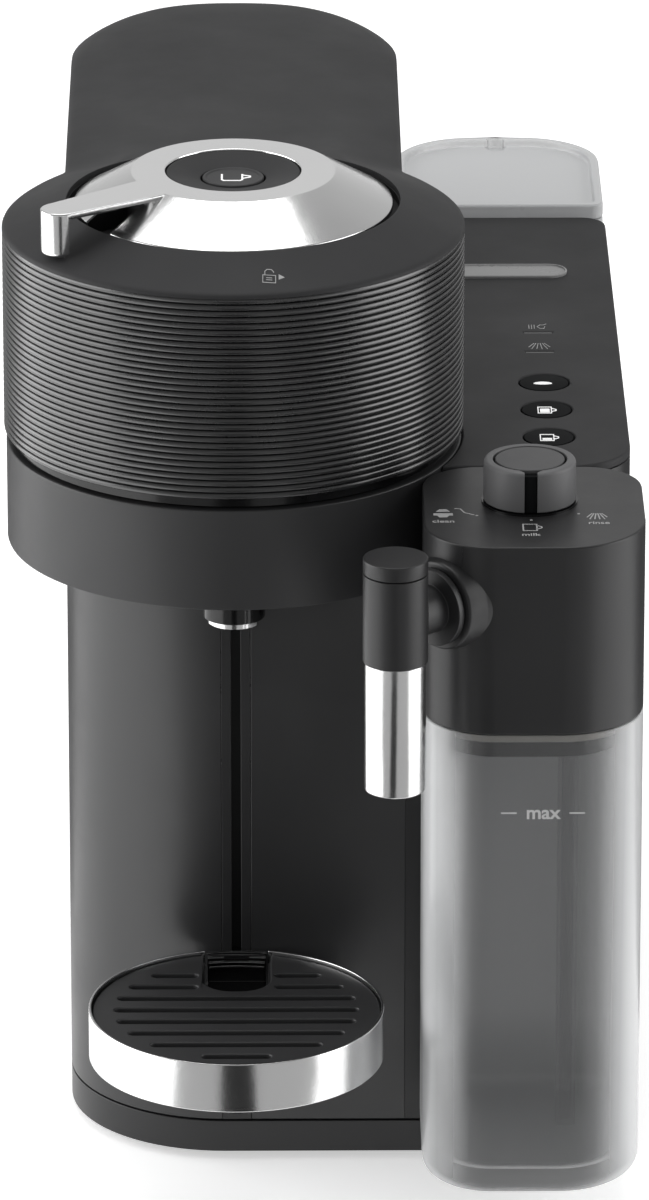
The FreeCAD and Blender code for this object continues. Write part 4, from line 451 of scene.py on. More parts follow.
def make(name, data, skin, body, replaces=(), smooth=38, merge=1e-6, outward=True):
    """A finished piece from mesh data, on its body: merged, facing outwards, smooth between sharp edges.

    The skin is the slot whose finish it wears. The slot is the record's, for a piece that replaces a node.
    """
    if isinstance(data, bpy.types.Mesh):
        mesh = data
        mesh.name = name
    else:
        mesh = bpy.data.meshes.new(name)
        mesh.from_pydata([tuple(v) for v in data[0]], [], data[1])
    work = bmesh.new()
    work.from_mesh(mesh)
    bmesh.ops.remove_doubles(work, verts=work.verts, dist=merge)
    if outward:
        bmesh.ops.recalc_face_normals(work, faces=work.faces)
    work.to_mesh(mesh)
    work.free()
    mesh.materials.clear()
    mesh.materials.append(finish(skin))
    for polygon in mesh.polygons:
        polygon.use_smooth = True
        polygon.material_index = 0
    mesh.set_sharp_from_angle(angle=math.radians(smooth))
    piece = bpy.data.objects.new(name, mesh)
    bpy.context.scene.collection.objects.link(piece)
    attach(piece, body)
    if replaces:
        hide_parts(*replaces)
    return piece


def joined(*parts):
    """Several pieces of mesh data as one."""
    verts, faces = [], []
    for part_verts, part_faces in parts:
        base = len(verts)
        verts += list(part_verts)
        faces += [[base + i for i in face] for face in part_faces]
    return verts, faces


def applied(piece):
    """Turn a piece's modifiers into its mesh."""
    bpy.context.view_layer.update()
    graph = bpy.context.evaluated_depsgraph_get()
    mesh = bpy.data.meshes.new_from_object(piece.evaluated_get(graph))
    piece.modifiers.clear()
    old = piece.data
    piece.data = mesh
    mesh.name = piece.name
    bpy.data.meshes.remove(old)


def carved(data, cutters, unions=(), within=()):
    """Mesh data with other mesh data cut out of it, joined to it, or kept only within it."""
    def temporary(part):
        mesh = bpy.data.meshes.new("stock")
        mesh.from_pydata([tuple(v) for v in part[0]], [], part[1])
        work = bmesh.new()
        work.from_mesh(mesh)
        bmesh.ops.remove_doubles(work, verts=work.verts, dist=1e-7)
        bmesh.ops.recalc_face_normals(work, faces=work.faces)
        work.to_mesh(mesh)
        work.free()
        piece = bpy.data.objects.new("stock", mesh)
        bpy.context.scene.collection.objects.link(piece)
        return piece
    base = temporary(data)
    tools = [(temporary(part), "DIFFERENCE") for part in cutters]
    tools += [(temporary(part), "UNION") for part in unions]
    tools += [(temporary(part), "INTERSECT") for part in within]
    for tool, operation in tools:
        change = base.modifiers.new("carve", "BOOLEAN")
        change.object, change.operation, change.solver = tool, operation, "EXACT"
    applied(base)
    result = ([v.co.copy() for v in base.data.vertices], [list(p.vertices) for p in base.data.polygons])
    for piece in [base] + [tool for tool, _ in tools]:
        mesh = piece.data
        bpy.data.objects.remove(piece)
        bpy.data.meshes.remove(mesh)
    return result


def rounded_copy(node, skin, width, segments=2):
    """A merged copy of a CAD piece with its sharp edges rounded, in millimetres."""
    source = frame["nodes"][node]
    body = source["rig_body"]
    work = bmesh.new()
    work.from_mesh(source.data)
    bmesh.ops.remove_doubles(work, verts=work.verts, dist=2e-6)
    bmesh.ops.dissolve_limit(work, angle_limit=math.radians(1.5), verts=work.verts, edges=work.edges)
    bmesh.ops.recalc_face_normals(work, faces=work.faces)
    mesh = bpy.data.meshes.new(node)
    work.to_mesh(mesh)
    work.free()
    piece = make(f"{node}_moulding", mesh, skin, body, (node,), outward=False, merge=1e-7)
    bevel = piece.modifiers.new("edges", "BEVEL")
    bevel.width, bevel.segments, bevel.limit_method = width * MM, segments, "ANGLE"
    bevel.angle_limit, bevel.use_clamp_overlap = math.radians(32), False
    applied(piece)
    piece.data.set_sharp_from_angle(angle=math.radians(50))
    even = piece.modifiers.new("even", "WEIGHTED_NORMAL")
    even.mode, even.keep_sharp = "FACE_AREA", True
    applied(piece)


# ---------------------------------------------------------------- signs

CUP_LINES = [[(-3.6, 2.4), (-3.6, -1.9), (-2.9, -2.5), (2.2, -2.5), (2.9, -1.9), (2.9, 2.4)],
             [(2.9, 1.7), (5.4, 0.9), (5.4, 0.1), (2.9, -0.9)]]
LOCK_LINES = [[(-3.4, 0.4), (3.4, 0.4), (3.4, -4.6), (-3.4, -4.6), (-3.4, 0.4)],
              [(-2.3, 0.4), (-2.3, 2.9), (-1.2, 4.2), (1.2, 4.2), (2.3, 2.9), (2.3, 2.2)],
              [(-1.6, -1.4), (1.6, -1.4)], [(-1.6, -2.8), (1.6, -2.8)]]
MUG_LINES = [[(-3.6, 2.6), (-3.6, -2.6), (3.2, -2.6), (3.2, 2.6), (-3.6, 2.6)],
             [(3.2, 1.5), (5.6, 0.6), (5.6, -0.4), (3.2, -1.3)]]
SPRAY_LINES = [[(-0.5, 2.6), (-1.4, -2.6)], [(0.5, 2.6), (1.4, -2.6)], [(-1.6, 2.6), (-4.2, -2.6)],
               [(1.6, 2.6), (4.2, -2.6)], [(-2.6, 2.6), (-5.6, -0.8)], [(2.6, 2.6), (5.6, -0.8)]]
STEAM_LINES = [[(-4.6, 1.8), (-4.6, -1.8)], [(-3.2, 1.8), (-3.2, -1.8)], [(-1.8, 1.8), (-1.8, -1.8)],
               [(-0.4, 0), (1.2, 1.6), (3.2, 1.6), (4.6, 2.6)],
               [(-0.4, 0), (1.2, -1.6), (3.2, -1.6), (3.8, 0.4)]]


def level_place(x, y, z, across=1, along=1):
    """Where the points of a level sign lie: round a centre, stretched by two factors."""
    return lambda u, v: spot(x + u * across, y + v * along, z)


def sign(name, paths, width, place, slot, body, filled=()):
    """Printed lines and filled shapes laid on a surface, as thin solids on their body."""
    verts, faces = [], []
    rise = 0.05

    def prism(points, rows):
        base = len(verts)
        count = len(points)
        for height in (-rise, rise):
            for u, v in points:
                here = place(u, v)
                normal = (place(u + 0.1, v) - here).cross(place(u, v + 0.1) - here).normalized()
                verts.append(here + normal * height * MM)
        for k in range(count):
            n = (k + 1) % count
            faces.append([base + k, base + n, base + count + n, base + count + k])
        for row in rows:
            faces.append([base + k for k in row][::-1])
            faces.append([base + count + k for k in row])

    for path in paths:
        points = [Vector(p) for p in path]
        closed = (points[0] - points[-1]).length < 1e-6
        sides = []
        for i, here in enumerate(points):
            before = points[i - 1] if i else (points[-2] if closed else None)
            after = points[i + 1] if i + 1 < len(points) else (points[1] if closed else None)
            first = (here - before).normalized() if before is not None else (after - here).normalized()
            second = (after - here).normalized() if after is not None else first
            normal = Vector((-first.y - second.y, first.x + second.x)).normalized()
            lean = max(0.4, normal.dot(Vector((-second.y, second.x))))
            sides.append((here - normal * width / 2 / lean, here + normal * width / 2 / lean))
        count = len(sides)
        loop = [tuple(s[0]) for s in sides] + [tuple(s[1]) for s in reversed(sides)]
        prism(loop, [[k, k + 1, 2 * count - 2 - k, 2 * count - 1 - k] for k in range(count - 1)])
    for shape in filled:
        prism(shape, [list(range(len(shape)))])
    make(name, (verts, faces), slot, body, merge=1e-9)


def word(name, text, size, place, slot, body, up=(0, 1, 0), bold=0.04):
    """A short word that reads to the right, laid flat on a surface: its size and boldness in millimetres."""
    right = Vector((1, 0, 0))
    letters = bpy.data.curves.new(name, "FONT")
    letters.body, letters.size = text, size * MM
    letters.extrude, letters.offset = 0.05 * MM, bold * MM
    letters.align_x, letters.align_y = "CENTER", "CENTER"
    holder = bpy.data.objects.new(name, letters)
    bpy.context.scene.collection.objects.link(holder)
    bpy.context.view_layer.update()
    graph = bpy.context.evaluated_depsgraph_get()
    mesh = bpy.data.meshes.new_from_object(holder.evaluated_get(graph))
    bpy.data.objects.remove(holder)
    bpy.data.curves.remove(letters)
    out = right.cross(Vector(up)).normalized()
    turn = Matrix((right, Vector(up), out)).transposed().to_4x4()
    turn.translation = place
    mesh.transform(turn)
    make(name, mesh, slot, body, outward=False, merge=1e-9)


# ---------------------------------------------------------------- the head

def smooth_step(low, high, value):
    """From 0 to 1 without a corner."""
    t = min(1.0, max(0.0, (value - low) / (high - low)))
    return t * t * (3 - 2 * t)


def cover_outline():
    """The head's plan, counterclockwise: the drum, a small fillet, and the near-elliptic rear part."""
    radius, half = edge("ribbed_sleeve", "right"), -edge("column_shell", "left")
    back, fillet, reach, power = edge("head_shell", "back"), 9.0, 64.0, 2.4
    fillet_y = DRUM_Y + math.sqrt((radius + fillet) ** 2 - (half + fillet) ** 2)
    meet = math.atan2(fillet_y - DRUM_Y, half + fillet)
    right = []
    for k in range(121):
        angle = -math.pi / 2 + (meet + math.pi / 2) * k / 120
        right.append((radius * math.cos(angle), DRUM_Y + radius * math.sin(angle)))
    for k in range(1, 9):
        angle = math.pi + meet * (1 - k / 8)
        right.append((half + fillet + fillet * math.cos(angle), fillet_y + fillet * math.sin(angle)))
    end = back - reach
    for k in range(1, 41):
        right.append((half, fillet_y + (end - fillet_y) * k / 41))
    for k in range(61):
        angle = math.pi / 2 * k / 60
        right.append((half * math.cos(angle) ** (2 / power), end + reach * math.sin(angle) ** (2 / power)))
    left = [(-x, y) for x, y in right[-2:0:-1]]
    return right + left, meet


def depths(points, outline):
    """How far each point lies inside an outline."""
    a = numpy.array(outline)
    b = numpy.roll(a, -1, axis=0)
    p = numpy.array(points)[:, None, :]
    run = b - a
    t = numpy.clip(((p - a) * run).sum(2) / (run * run).sum(1), 0, 1)
    return numpy.sqrt((((a + t[..., None] * run) - p) ** 2).sum(2)).min(1)


def cover_height(x, y, depth, rim):
    """Height of the cover: coned round the drum, flowing into the flatter rear, rounded off behind."""
    flow = smooth_step(55, 135, y)
    rear = smooth_step(190, 245, y)
    rise, crown = 2.6 * flow, 7.5 - 4.6 * flow
    coned, inside = min(depth / 20, 1.0), min(depth / 40, 1.0)
    crowned = inside * (2 - inside)
    base = rim + rise + crown * ((1 - flow) * coned + flow * crowned)
    wide = 1.6 + 1.8 * flow + 17 * rear
    high = 0.9 + 1.2 * flow + 6.5 * rear
    t = max(0.0, 1 - depth / wide)
    return base - high * (1 - math.sqrt(max(0.0, 1 - t * t)))


class COFFEE_OT_head_cover(bpy.types.Operator):
    """Shape the tilting cover as one skin over the drum and the rear part"""

    bl_idname = "coffee.head_cover"
    bl_label = "Head cover"

    def execute(self, context):
        outline = cover_outline()[0]
        radius, half = edge("ribbed_sleeve", "right"), -edge("column_shell", "left")
        rim, well, hole = 307.0, 52.3, 26.4
        floor = rim + 2.7
        low = edge("head_floor", "top")
        hinge_y = centre_of("hinge_pin")[1]
        hinge_z = (edge("hinge_pin", "low") + edge("hinge_pin", "top")) / 2

        # The skin: rows of points from the outline in to the round well of the lever.
        rows, more = [0, 0.25, 0.6, 1.1, 1.8, 3, 5, 8, 12, 17], 12
        inner = [(well * math.cos(a), DRUM_Y + well * math.sin(a))
                 for a in (math.atan2(y - DRUM_Y, x) for x, y in outline)]
        layers = []
        for k in range(len(rows) + more):
            layer = []
            for (x0, y0), (x1, y1) in zip(outline, inner):
                span = math.hypot(x1 - x0, y1 - y0)
                last = rows[-1]
                if k < len(rows):
                    share = rows[k] / span
                else:
                    share = (last + (span - last) * (k - len(rows) + 1) / more) / span
                layer.append((x0 + (x1 - x0) * share, y0 + (y1 - y0) * share))
            layers.append(layer)
        flat = [point for layer in layers for point in layer]
        deep = depths(flat, outline)
        count = len(outline)
        heights = [cover_height(x, y, d, rim) for (x, y), d in zip(flat, deep)]
        skin = [(layers[k], heights[k * count:(k + 1) * count]) for k in range(len(layers))]
        skin.append((inner, [floor] * count))
        opening = [(x * hole / well, DRUM_Y + (y - DRUM_Y) * hole / well) for x, y in inner]
        skin.append((opening, [floor] * count))

        # The walls: drawn in behind the ribs, and rounded about the hinge at the rear.
        behind_ribs, drum_radius, hinge_sweep = 2.4, 72.5, 17.2
        tuck = 1 - behind_ribs / drum_radius
        tucked, ends = [], []
        for x, y in outline:
            drum = math.hypot(x, y - DRUM_Y) < radius + 0.01 and not (abs(x) < half + 0.4 and y > DRUM_Y)
            tucked.append((x * tuck, DRUM_Y + (y - DRUM_Y) * tuck) if drum else (x, y))
            behind = y - hinge_y
            drop = math.sqrt(max(0.0, hinge_sweep ** 2 - behind ** 2)) if behind > 0 else 0
            ends.append(low if behind <= 0 else hinge_z - drop)
        top = heights[:count]
        walls = [(tucked, ends)]
        for step in range(1, 9):
            walls.append((tucked, [e + (min(t - 0.3, rim - 1.1) - e) * step / 8 for e, t in zip(ends, top)]))
        walls.append((outline, [min(t - 0.3, rim - 1.0) for t in top]))
        cover = make("head_cover", stack(walls + skin, close=False), "deck_black", "head", ("head_shell",),
                     smooth=42, outward=False, merge=1e-7)
        wall = cover.modifiers.new("wall", "SOLIDIFY")
        wall.thickness, wall.offset = 2.0 * MM, -1
        applied(cover)
        cover.data.set_sharp_from_angle(angle=math.radians(42))

        # Two ears carry the cover on the hinge pin.
        bore, ear_radius, ear_long = 3.05, 8, 10
        knuckles = []
        for start in (15.5, -25.5):
            end = start + ear_long
            profile = [(bore, start), (ear_radius, start), (ear_radius, end), (bore, end)]
            ear = lathe(softened_profile(profile, 0.5), 0, 0, 48)
            turned = []
            for v in ear[0]:
                x, y, z = (v - spot(0, 0, 0)) / MM
                turned.append(spot(z, hinge_y + y, hinge_z - x))
            knuckles.append((turned, ear[1]))
            web = rounded_outline(start, end, hinge_y - 6, hinge_y + 6, [1] * 4, 3)
            knuckles.append(block(web, hinge_z + 6, rim - 2))
        make("hinge_knuckles", joined(*knuckles), "deck_black", "head", ())
        return {"FINISHED"}


def rib_tree():
    """Ribs stacked round part of a drum, and the wall behind them."""
    tree = bpy.data.node_groups.new("ribbed sleeve", "GeometryNodeTree")
    face = tree.interface
    face.new_socket("Geometry", in_out="OUTPUT", socket_type="NodeSocketGeometry")
    sizes = [("Radius", "NodeSocketFloat"), ("Start", "NodeSocketFloat"), ("Sweep", "NodeSocketFloat"),
             ("Ribs", "NodeSocketInt"), ("Pitch", "NodeSocketFloat"), ("Rib width", "NodeSocketFloat"),
             ("Rib depth", "NodeSocketFloat"), ("Wall", "NodeSocketFloat"), ("Height", "NodeSocketFloat"),
             ("Place", "NodeSocketVector"), ("Finish", "NodeSocketMaterial")]
    for name, kind in sizes:
        face.new_socket(name, in_out="INPUT", socket_type=kind)
    given = add(tree, "NodeGroupInput").outputs
    arc = {"Resolution": 168, "Start Angle": given["Start"], "Sweep Angle": given["Sweep"]}
    rib_line = add(tree, "GeometryNodeCurveArc", {**arc, "Radius": given["Radius"]}, mode="RADIUS")
    profile = add(tree, "GeometryNodeCurvePrimitiveCircle", {"Resolution": 10, "Radius": 1.0}, mode="RADIUS")
    size = add(tree, "ShaderNodeCombineXYZ", {"X": given["Rib depth"], "Y": given["Rib width"], "Z": 1.0})
    shaped = add(tree, "GeometryNodeTransform", {"Geometry": profile.outputs["Curve"],
                                                 "Scale": size.outputs["Vector"]})
    rib = add(tree, "GeometryNodeCurveToMesh", {"Curve": rib_line.outputs["Curve"],
              "Profile Curve": shaped.outputs["Geometry"], "Fill Caps": True})
    step = add(tree, "ShaderNodeCombineXYZ", {"Z": given["Pitch"]})
    line = add(tree, "GeometryNodeMeshLine", {"Count": given["Ribs"], "Offset": step.outputs["Vector"]},
               mode="OFFSET")
    ribs = add(tree, "GeometryNodeInstanceOnPoints", {"Points": line.outputs["Mesh"],
                                                      "Instance": rib.outputs["Mesh"]})
    inner = add(tree, "ShaderNodeMath", {0: given["Radius"], 1: given["Wall"]}, operation="SUBTRACT")
    wall_line = add(tree, "GeometryNodeCurveArc", {**arc, "Radius": inner.outputs[0]}, mode="RADIUS")
    plate = add(tree, "GeometryNodeCurvePrimitiveQuadrilateral", {"Width": given["Wall"],
                                                                  "Height": given["Height"]})
    wall = add(tree, "GeometryNodeCurveToMesh", {"Curve": wall_line.outputs["Curve"],
               "Profile Curve": plate.outputs["Curve"], "Fill Caps": True})
    half = add(tree, "ShaderNodeMath", {0: given["Height"], 1: 0.5}, operation="MULTIPLY")
    less = add(tree, "ShaderNodeMath", {0: half.outputs[0], 1: given["Rib width"]}, operation="SUBTRACT")
    lift = add(tree, "ShaderNodeCombineXYZ", {"Z": less.outputs[0]})
    raised = add(tree, "GeometryNodeTransform", {"Geometry": wall.outputs["Mesh"],
                                                 "Translation": lift.outputs["Vector"]})
    both = add(tree, "GeometryNodeJoinGeometry")
    tree.links.new(ribs.outputs["Instances"], both.inputs[0])
    tree.links.new(raised.outputs["Geometry"], both.inputs[0])
    placed = add(tree, "GeometryNodeTransform", {"Geometry": both.outputs["Geometry"],
                                                 "Translation": given["Place"]})
    real = add(tree, "GeometryNodeRealizeInstances", {"Geometry": placed.outputs["Geometry"]})
    painted = add(tree, "GeometryNodeSetMaterial", {"Geometry": real.outputs["Geometry"],
                                                    "Material": given["Finish"]})
    shown = add(tree, "NodeGroupOutput")
    tree.links.new(painted.outputs["Geometry"], shown.inputs["Geometry"])
    return tree


def grown(name, tree, values):
    """A plain mesh object from a geometry tree, with its inputs set by name."""
    holder = bpy.data.objects.new(name, bpy.data.meshes.new(name))
    bpy.context.scene.collection.objects.link(holder)
    change = holder.modifiers.new("grow", "NODES")
    change.node_group = tree
    for item in tree.interface.items_tree:
        if item.in_out == "INPUT" and item.name in values:
            change[item.identifier] = values[item.name]
    applied(holder)
    return holder


class COFFEE_OT_ribbed_sleeve(bpy.types.Operator):
    """Grow the ribs round the drum"""

    bl_idname = "coffee.ribbed_sleeve"
    bl_label = "Ribbed sleeve"

    def execute(self, context):
        sizes = context.scene.coffee_sizes
        meet = cover_outline()[1]
        low, top = edge("ribbed_sleeve", "low"), edge("ribbed_sleeve", "top")
        pitch = (top - low) / sizes.ribs * MM
        radius = edge("ribbed_sleeve", "right") * MM - sizes.rib_depth
        sleeve = grown("ribbed_drum_sleeve", rib_tree(), {
            "Radius": radius, "Start": math.pi - meet + 0.02, "Sweep": math.pi + 2 * meet - 0.04,
            "Ribs": sizes.ribs, "Pitch": pitch, "Rib width": pitch * sizes.rib_share / 2,
            "Rib depth": sizes.rib_depth, "Wall": 0.0012, "Height": (top - low) * MM,
            "Place": tuple(spot(0, DRUM_Y, low) + Vector((0, 0, pitch / 2))), "Finish": finish("drum_black")})
        for polygon in sleeve.data.polygons:
            polygon.use_smooth = True
        sleeve.data.set_sharp_from_angle(angle=math.radians(60))
        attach(sleeve, "head")
        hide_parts("ribbed_sleeve")
        return {"FINISHED"}


def beside(u, v, angle):
    """A point of the plan from along and across a direction through the brewing axis."""
    a = math.radians(angle)
    return (u * math.cos(a) - v * math.sin(a), DRUM_Y + u * math.sin(a) + v * math.cos(a))


class COFFEE_OT_lever(bpy.types.Operator):
    """Turn the plated lever, with its arm, its turned-down tip and the cut-away under it, lined with painted
    shade
    """

    bl_idname = "coffee.lever"
    bl_label = "Lever"

    def execute(self, context):
        top, low = edge("lever", "top"), edge("lever", "low")
        bore_radius, flat_radius, rim_radius = 21.25, 31.9, 50.1
        skirt = top - 9.7
        profile = softened_profile([
            (bore_radius, low + 0.4, 0.3), (rim_radius - 0.2, low + 0.4, 0.4), (rim_radius, skirt - 0.6, 0.8),
            (flat_radius, top, 1.2), (bore_radius, top, 0.5)], 0.5)
        ring = lathe(profile, 0, DRUM_Y, 256)

        # The arm narrows to a round tip, which turns down.
        heading, tip_start, tip_middle, tip_half = 216.2, 65.6, -0.8, 6.1
        turn = [math.radians(180 * k / 24 - 90) for k in range(25)]
        tip = [(tip_start + tip_half * math.cos(a), tip_middle + tip_half * math.sin(a)) for a in turn]

        def upright(points, low, top, *rounding):
            return block([beside(*point, heading) for point in points], low, top, *rounding)

        def slab(u0, u1, v0, v1, z0, z1):
            return upright([(u0, v0), (u1, v0), (u1, v1), (u0, v1)], z0, z1)

        arm = upright([(23.6, -9.7), (45, -8.3)] + tip + [(50, 6.3), (23.6, 7.8)], top - 1.7, top, 0.3, 0.5)
        tab = upright(tip[1:-1], top - 14.5, top - 0.8, 1.6, 0)
        hollow = slab(33.0, 76, -10.5, 3.8, low - 2, top - 1.5)
        bore = lathe([(0, low - 3), (bore_radius, low - 3), (bore_radius, top + 3), (0, top + 3)],
                     0, DRUM_Y, 256)
        body = carved(carved(ring, [hollow], [arm, tab]), [bore])
        make("lever_handle", body, "chrome_plate", "lever_ring", ("lever",), smooth=24)

        # The cut-away and the arm's underside are lined in black as painted shade, in place of the shadow
        # under the arm.
        inside = lathe([(r - 0.3 if r > 30 else r, z) for r, z in profile], 0, DRUM_Y, 256)
        painted_shade_lining = carved(inside, [slab(33.7, 76, -9.8, 3.1, low - 2, top - 3.2)], (),
                        [slab(33.05, 60, -10.45, 3.75, low + 0.5, top - 2.0)])
        painted_shade_under_arm = upright([(48, -7.4), (64.8, -6.2), (64.8, 4.6), (48, 5.5)], top - 2.3, top - 1.75)
        make("lever_lining", joined(painted_shade_lining, painted_shade_under_arm), "rail_black", "lever_ring", smooth=24)
        return {"FINISHED"}


class COFFEE_OT_middle(bpy.types.Operator):
    """Turn the dished disc and the start button, and lay the cup sign on it"""

    bl_idname = "coffee.middle"
    bl_label = "Disc and start button"

    def execute(self, context):
        line = context.scene.coffee_sizes.line / MM
        low, top = edge("centre_disc", "low"), edge("centre_disc", "top")
        dish = top - 2.2
        disc = softened_profile([
            (14, low), (17, low), (17, top - 9), (20.9, top - 5), (20.9, top, 0.5), (19.9, top - 0.2, 0.5),
            (10.2, dish, 0.5), (9.95, dish - 9), (0, dish - 9), (0, dish - 11), (14, dish - 11)], 0.4)
        make("dished_disc", lathe(disc, 0, DRUM_Y, 160), "deck_black", "head", ("centre_disc",))
        head, deep, radius = edge("start_button", "top"), 6.4, 9.6
        button = softened_profile([
            (0, head - deep), (radius, head - deep), (radius, head, 0.4), (8.7, head + 0.05, 0.3),
            (8.2, head - 0.3, 0.3), (0, head - 0.3, 0)], 0.3)
        make("start_button_cap", lathe(button, 0, DRUM_Y, 96), "start_key", "start_key", ("start_button",))
        sign("start_sign", CUP_LINES, line * 1.2, level_place(0, DRUM_Y, head - 0.28, 0.98, 1.3), "lit",
             "start_key")

        # The unlock sign lies on the cone that the crown makes round the lever.
        slope, rim, drum_radius = 7.5 / 20, 307.05, 72.5

        def on_cone(u, v):
            x, y = 11.1 + u * 0.58, -31.6 + v * 0.68
            return spot(x, y, rim + slope * drum_radius - slope * math.hypot(x, y - DRUM_Y))
        sign("unlock_sign", LOCK_LINES, line * 0.8, on_cone, "printing", "head",
             [[(5.0, -2.2), (8.2, -0.4), (5.0, 1.4)]])
        return {"FINISHED"}


# ---------------------------------------------------------------- housing, tray, jug, tank

class COFFEE_OT_housing(bpy.types.Operator):
    """Round the edges of the moulded housing and the rear pieces"""

    bl_idname = "coffee.housing"
    bl_label = "Housing"

    def execute(self, context):
        width = context.scene.coffee_sizes.rounding / MM
        for node, slot, times in (
                ("base_plate", "black_satin", 0.5), ("column_shell", "column_grey", 0.4),
                ("side_shell", "black_satin", 0.4), ("neck_housing", "neck_grey", 1.0),
                ("hinge_barrel", "black_satin", 1.0), ("capsule_bin", "black_satin", 1.0),
                ("tray_carriage", "gloss_black", 0.6), ("rail_strip", "rail_black", 0.3),
                ("milk_lid", "black_satin", 1.0), ("lid_insert", "gloss_black", 0.5)):
            rounded_copy(node, slot, width * times)
        return {"FINISHED"}


class COFFEE_OT_deck(bpy.types.Operator):
    """Make the deck with its buttons, lit signs, indicator lines and the plain badge plate"""

    bl_idname = "coffee.deck"
    bl_label = "Deck"

    def execute(self, context):
        line = context.scene.coffee_sizes.line / MM
        rounded_copy("top_deck", "deck_black", 0.8)
        top = edge("top_deck", "top")
        face, skirt = top - 0.15, top - 3.2
        for number, filled_to in ((1, -0.4), (2, 1.2), (3, None)):
            node, body = f"recipe_button_{number}", f"recipe_key_{number}"
            x, y = centre_of(node)
            low, radius = edge(node, "low"), edge(node, "right") - x
            cap = softened_profile([
                (0, low), (2, low), (2, skirt), (radius, skirt), (radius, face, 0.3), (0, face, 0)], 0.3)
            make(f"{node}_cap", lathe(cap, x, y, 72), "button_black", body, (node,))
            if filled_to is None:
                # Froth: a dome over a shallow dish.
                turn = [math.pi * k / 12 for k in range(13)]
                shape = [(4.8 * math.cos(a), 1.5 * math.sin(a) - 0.4) for a in turn]
                shape += [(4.8 * math.cos(a), -0.9 * math.sin(a) - 0.4) for a in turn[-2:0:-1]]
            else:
                shape = [(-2.6, -2.0), (2.3, -2.0), (2.3, filled_to), (-2.6, filled_to)]
            sign(f"recipe_sign_{number}", [] if filled_to is None else MUG_LINES, line * 1.1,
                 level_place(x - 0.4, y - 0.6, top - 0.13, 0.62, 1.1), "lit", body, [shape])
        x = centre_of("indicator_lenses")[0]
        for name, y, paths in (("rinse_light_sign", edge("indicator_lenses", "front") + 0.45, SPRAY_LINES),
                               ("descale_light_sign", edge("indicator_lenses", "back") - 0.45, STEAM_LINES)):
            sign(name, paths, line * 0.8, level_place(x, y + 5.2, top, 0.62, 1.1), "printing", "body")

        # The plain badge plate: a rim with a sunk face.
        plate = rounded_outline(68.0, 110.1, 182.9, 195.5, [6.2] * 4, 14)
        rim, sunk = top + 0.95, top + 0.55
        layers = [(plate, top - 0.3), (plate, top + 0.7), (drawn_in(plate, 0.25), rim),
                  (drawn_in(plate, 0.65), rim), (drawn_in(plate, 0.9), sunk)]
        make("badge_plate", stack(layers), "badge", "body", smooth=30)
        return {"FINISHED"}


class COFFEE_OT_tray(bpy.types.Operator):
    """Finish the drip tray, its plated band and its slotted grid"""

    bl_idname = "coffee.tray"
    bl_label = "Drip tray"

    def execute(self, context):
        rounded_copy("drip_tray", "black_satin", 0.4)
        rounded_copy("drip_grid", "grid", 0.55, segments=3)
        rounded_copy("tray_band", "chrome_plate", 0.3)

        # The rim goes on round the recess at the back as low steps.
        x, y = centre_of("drip_tray")
        reach, top = edge("tray_band", "right") - x, edge("tray_band", "top")
        wide, high, step_in, step_down = 0.45, 0.5, 1.5, 1.1
        sweep = [math.radians(90 + angle) for angle in range(-12, 13)]
        steps = []
        for number in range(4):
            outer, height = reach - 0.3 - number * step_in, top - 0.2 - number * step_down
            inner = outer - wide
            line = [(x + outer * math.cos(a), y + outer * math.sin(a)) for a in sweep]
            line += [(x + inner * math.cos(a), y + inner * math.sin(a)) for a in sweep[::-1]]
            steps.append(block(line, height - high, height))
        make("tray_rear_steps", joined(*steps), "chrome_plate", "tray", ())
        return {"FINISHED"}


class COFFEE_OT_jug(bpy.types.Operator):
    """Make the milk jug's vessel, with walls of an even thickness and a rounded floor"""

    bl_idname = "coffee.jug"
    bl_label = "Milk jug"

    def execute(self, context):
        left, right = edge("milk_container", "left"), edge("milk_container", "right")
        front, back = edge("milk_container", "front"), edge("milk_container", "back")
        low, rim = edge("milk_container", "low"), edge("milk_container", "top")
        plan = rounded_outline(left, right, front, back, [22, 26, 8, 18], 20)
        wall, lip, floor, outer_radius, inner_radius = 2.2, 0.3, 7, 5.5, 5
        layers = []
        for k in range(9):
            a = math.radians(90 * k / 8)
            inset = drawn_in(plan, outer_radius * (1 - math.sin(a)))
            layers.append((inset, low + floor * (1 - math.cos(a)) * 0.9))
        layers += [(plan, rim - lip), (drawn_in(plan, lip), rim), (drawn_in(plan, wall - lip), rim),
                   (drawn_in(plan, wall), rim - lip)]
        for k in range(6, -1, -1):
            a = math.radians(90 * k / 6)
            inset = drawn_in(plan, wall + inner_radius * (1 - math.sin(a)))
            layers.append((inset, low + floor + inner_radius * (1 - math.cos(a))))
        make("jug_vessel", stack(layers), "jug_clear", "jug", ("milk_container",), smooth=30)
        frame["nodes"]["suction_tube"].data.materials[0] = finish("tube_clear")
        return {"FINISHED"}


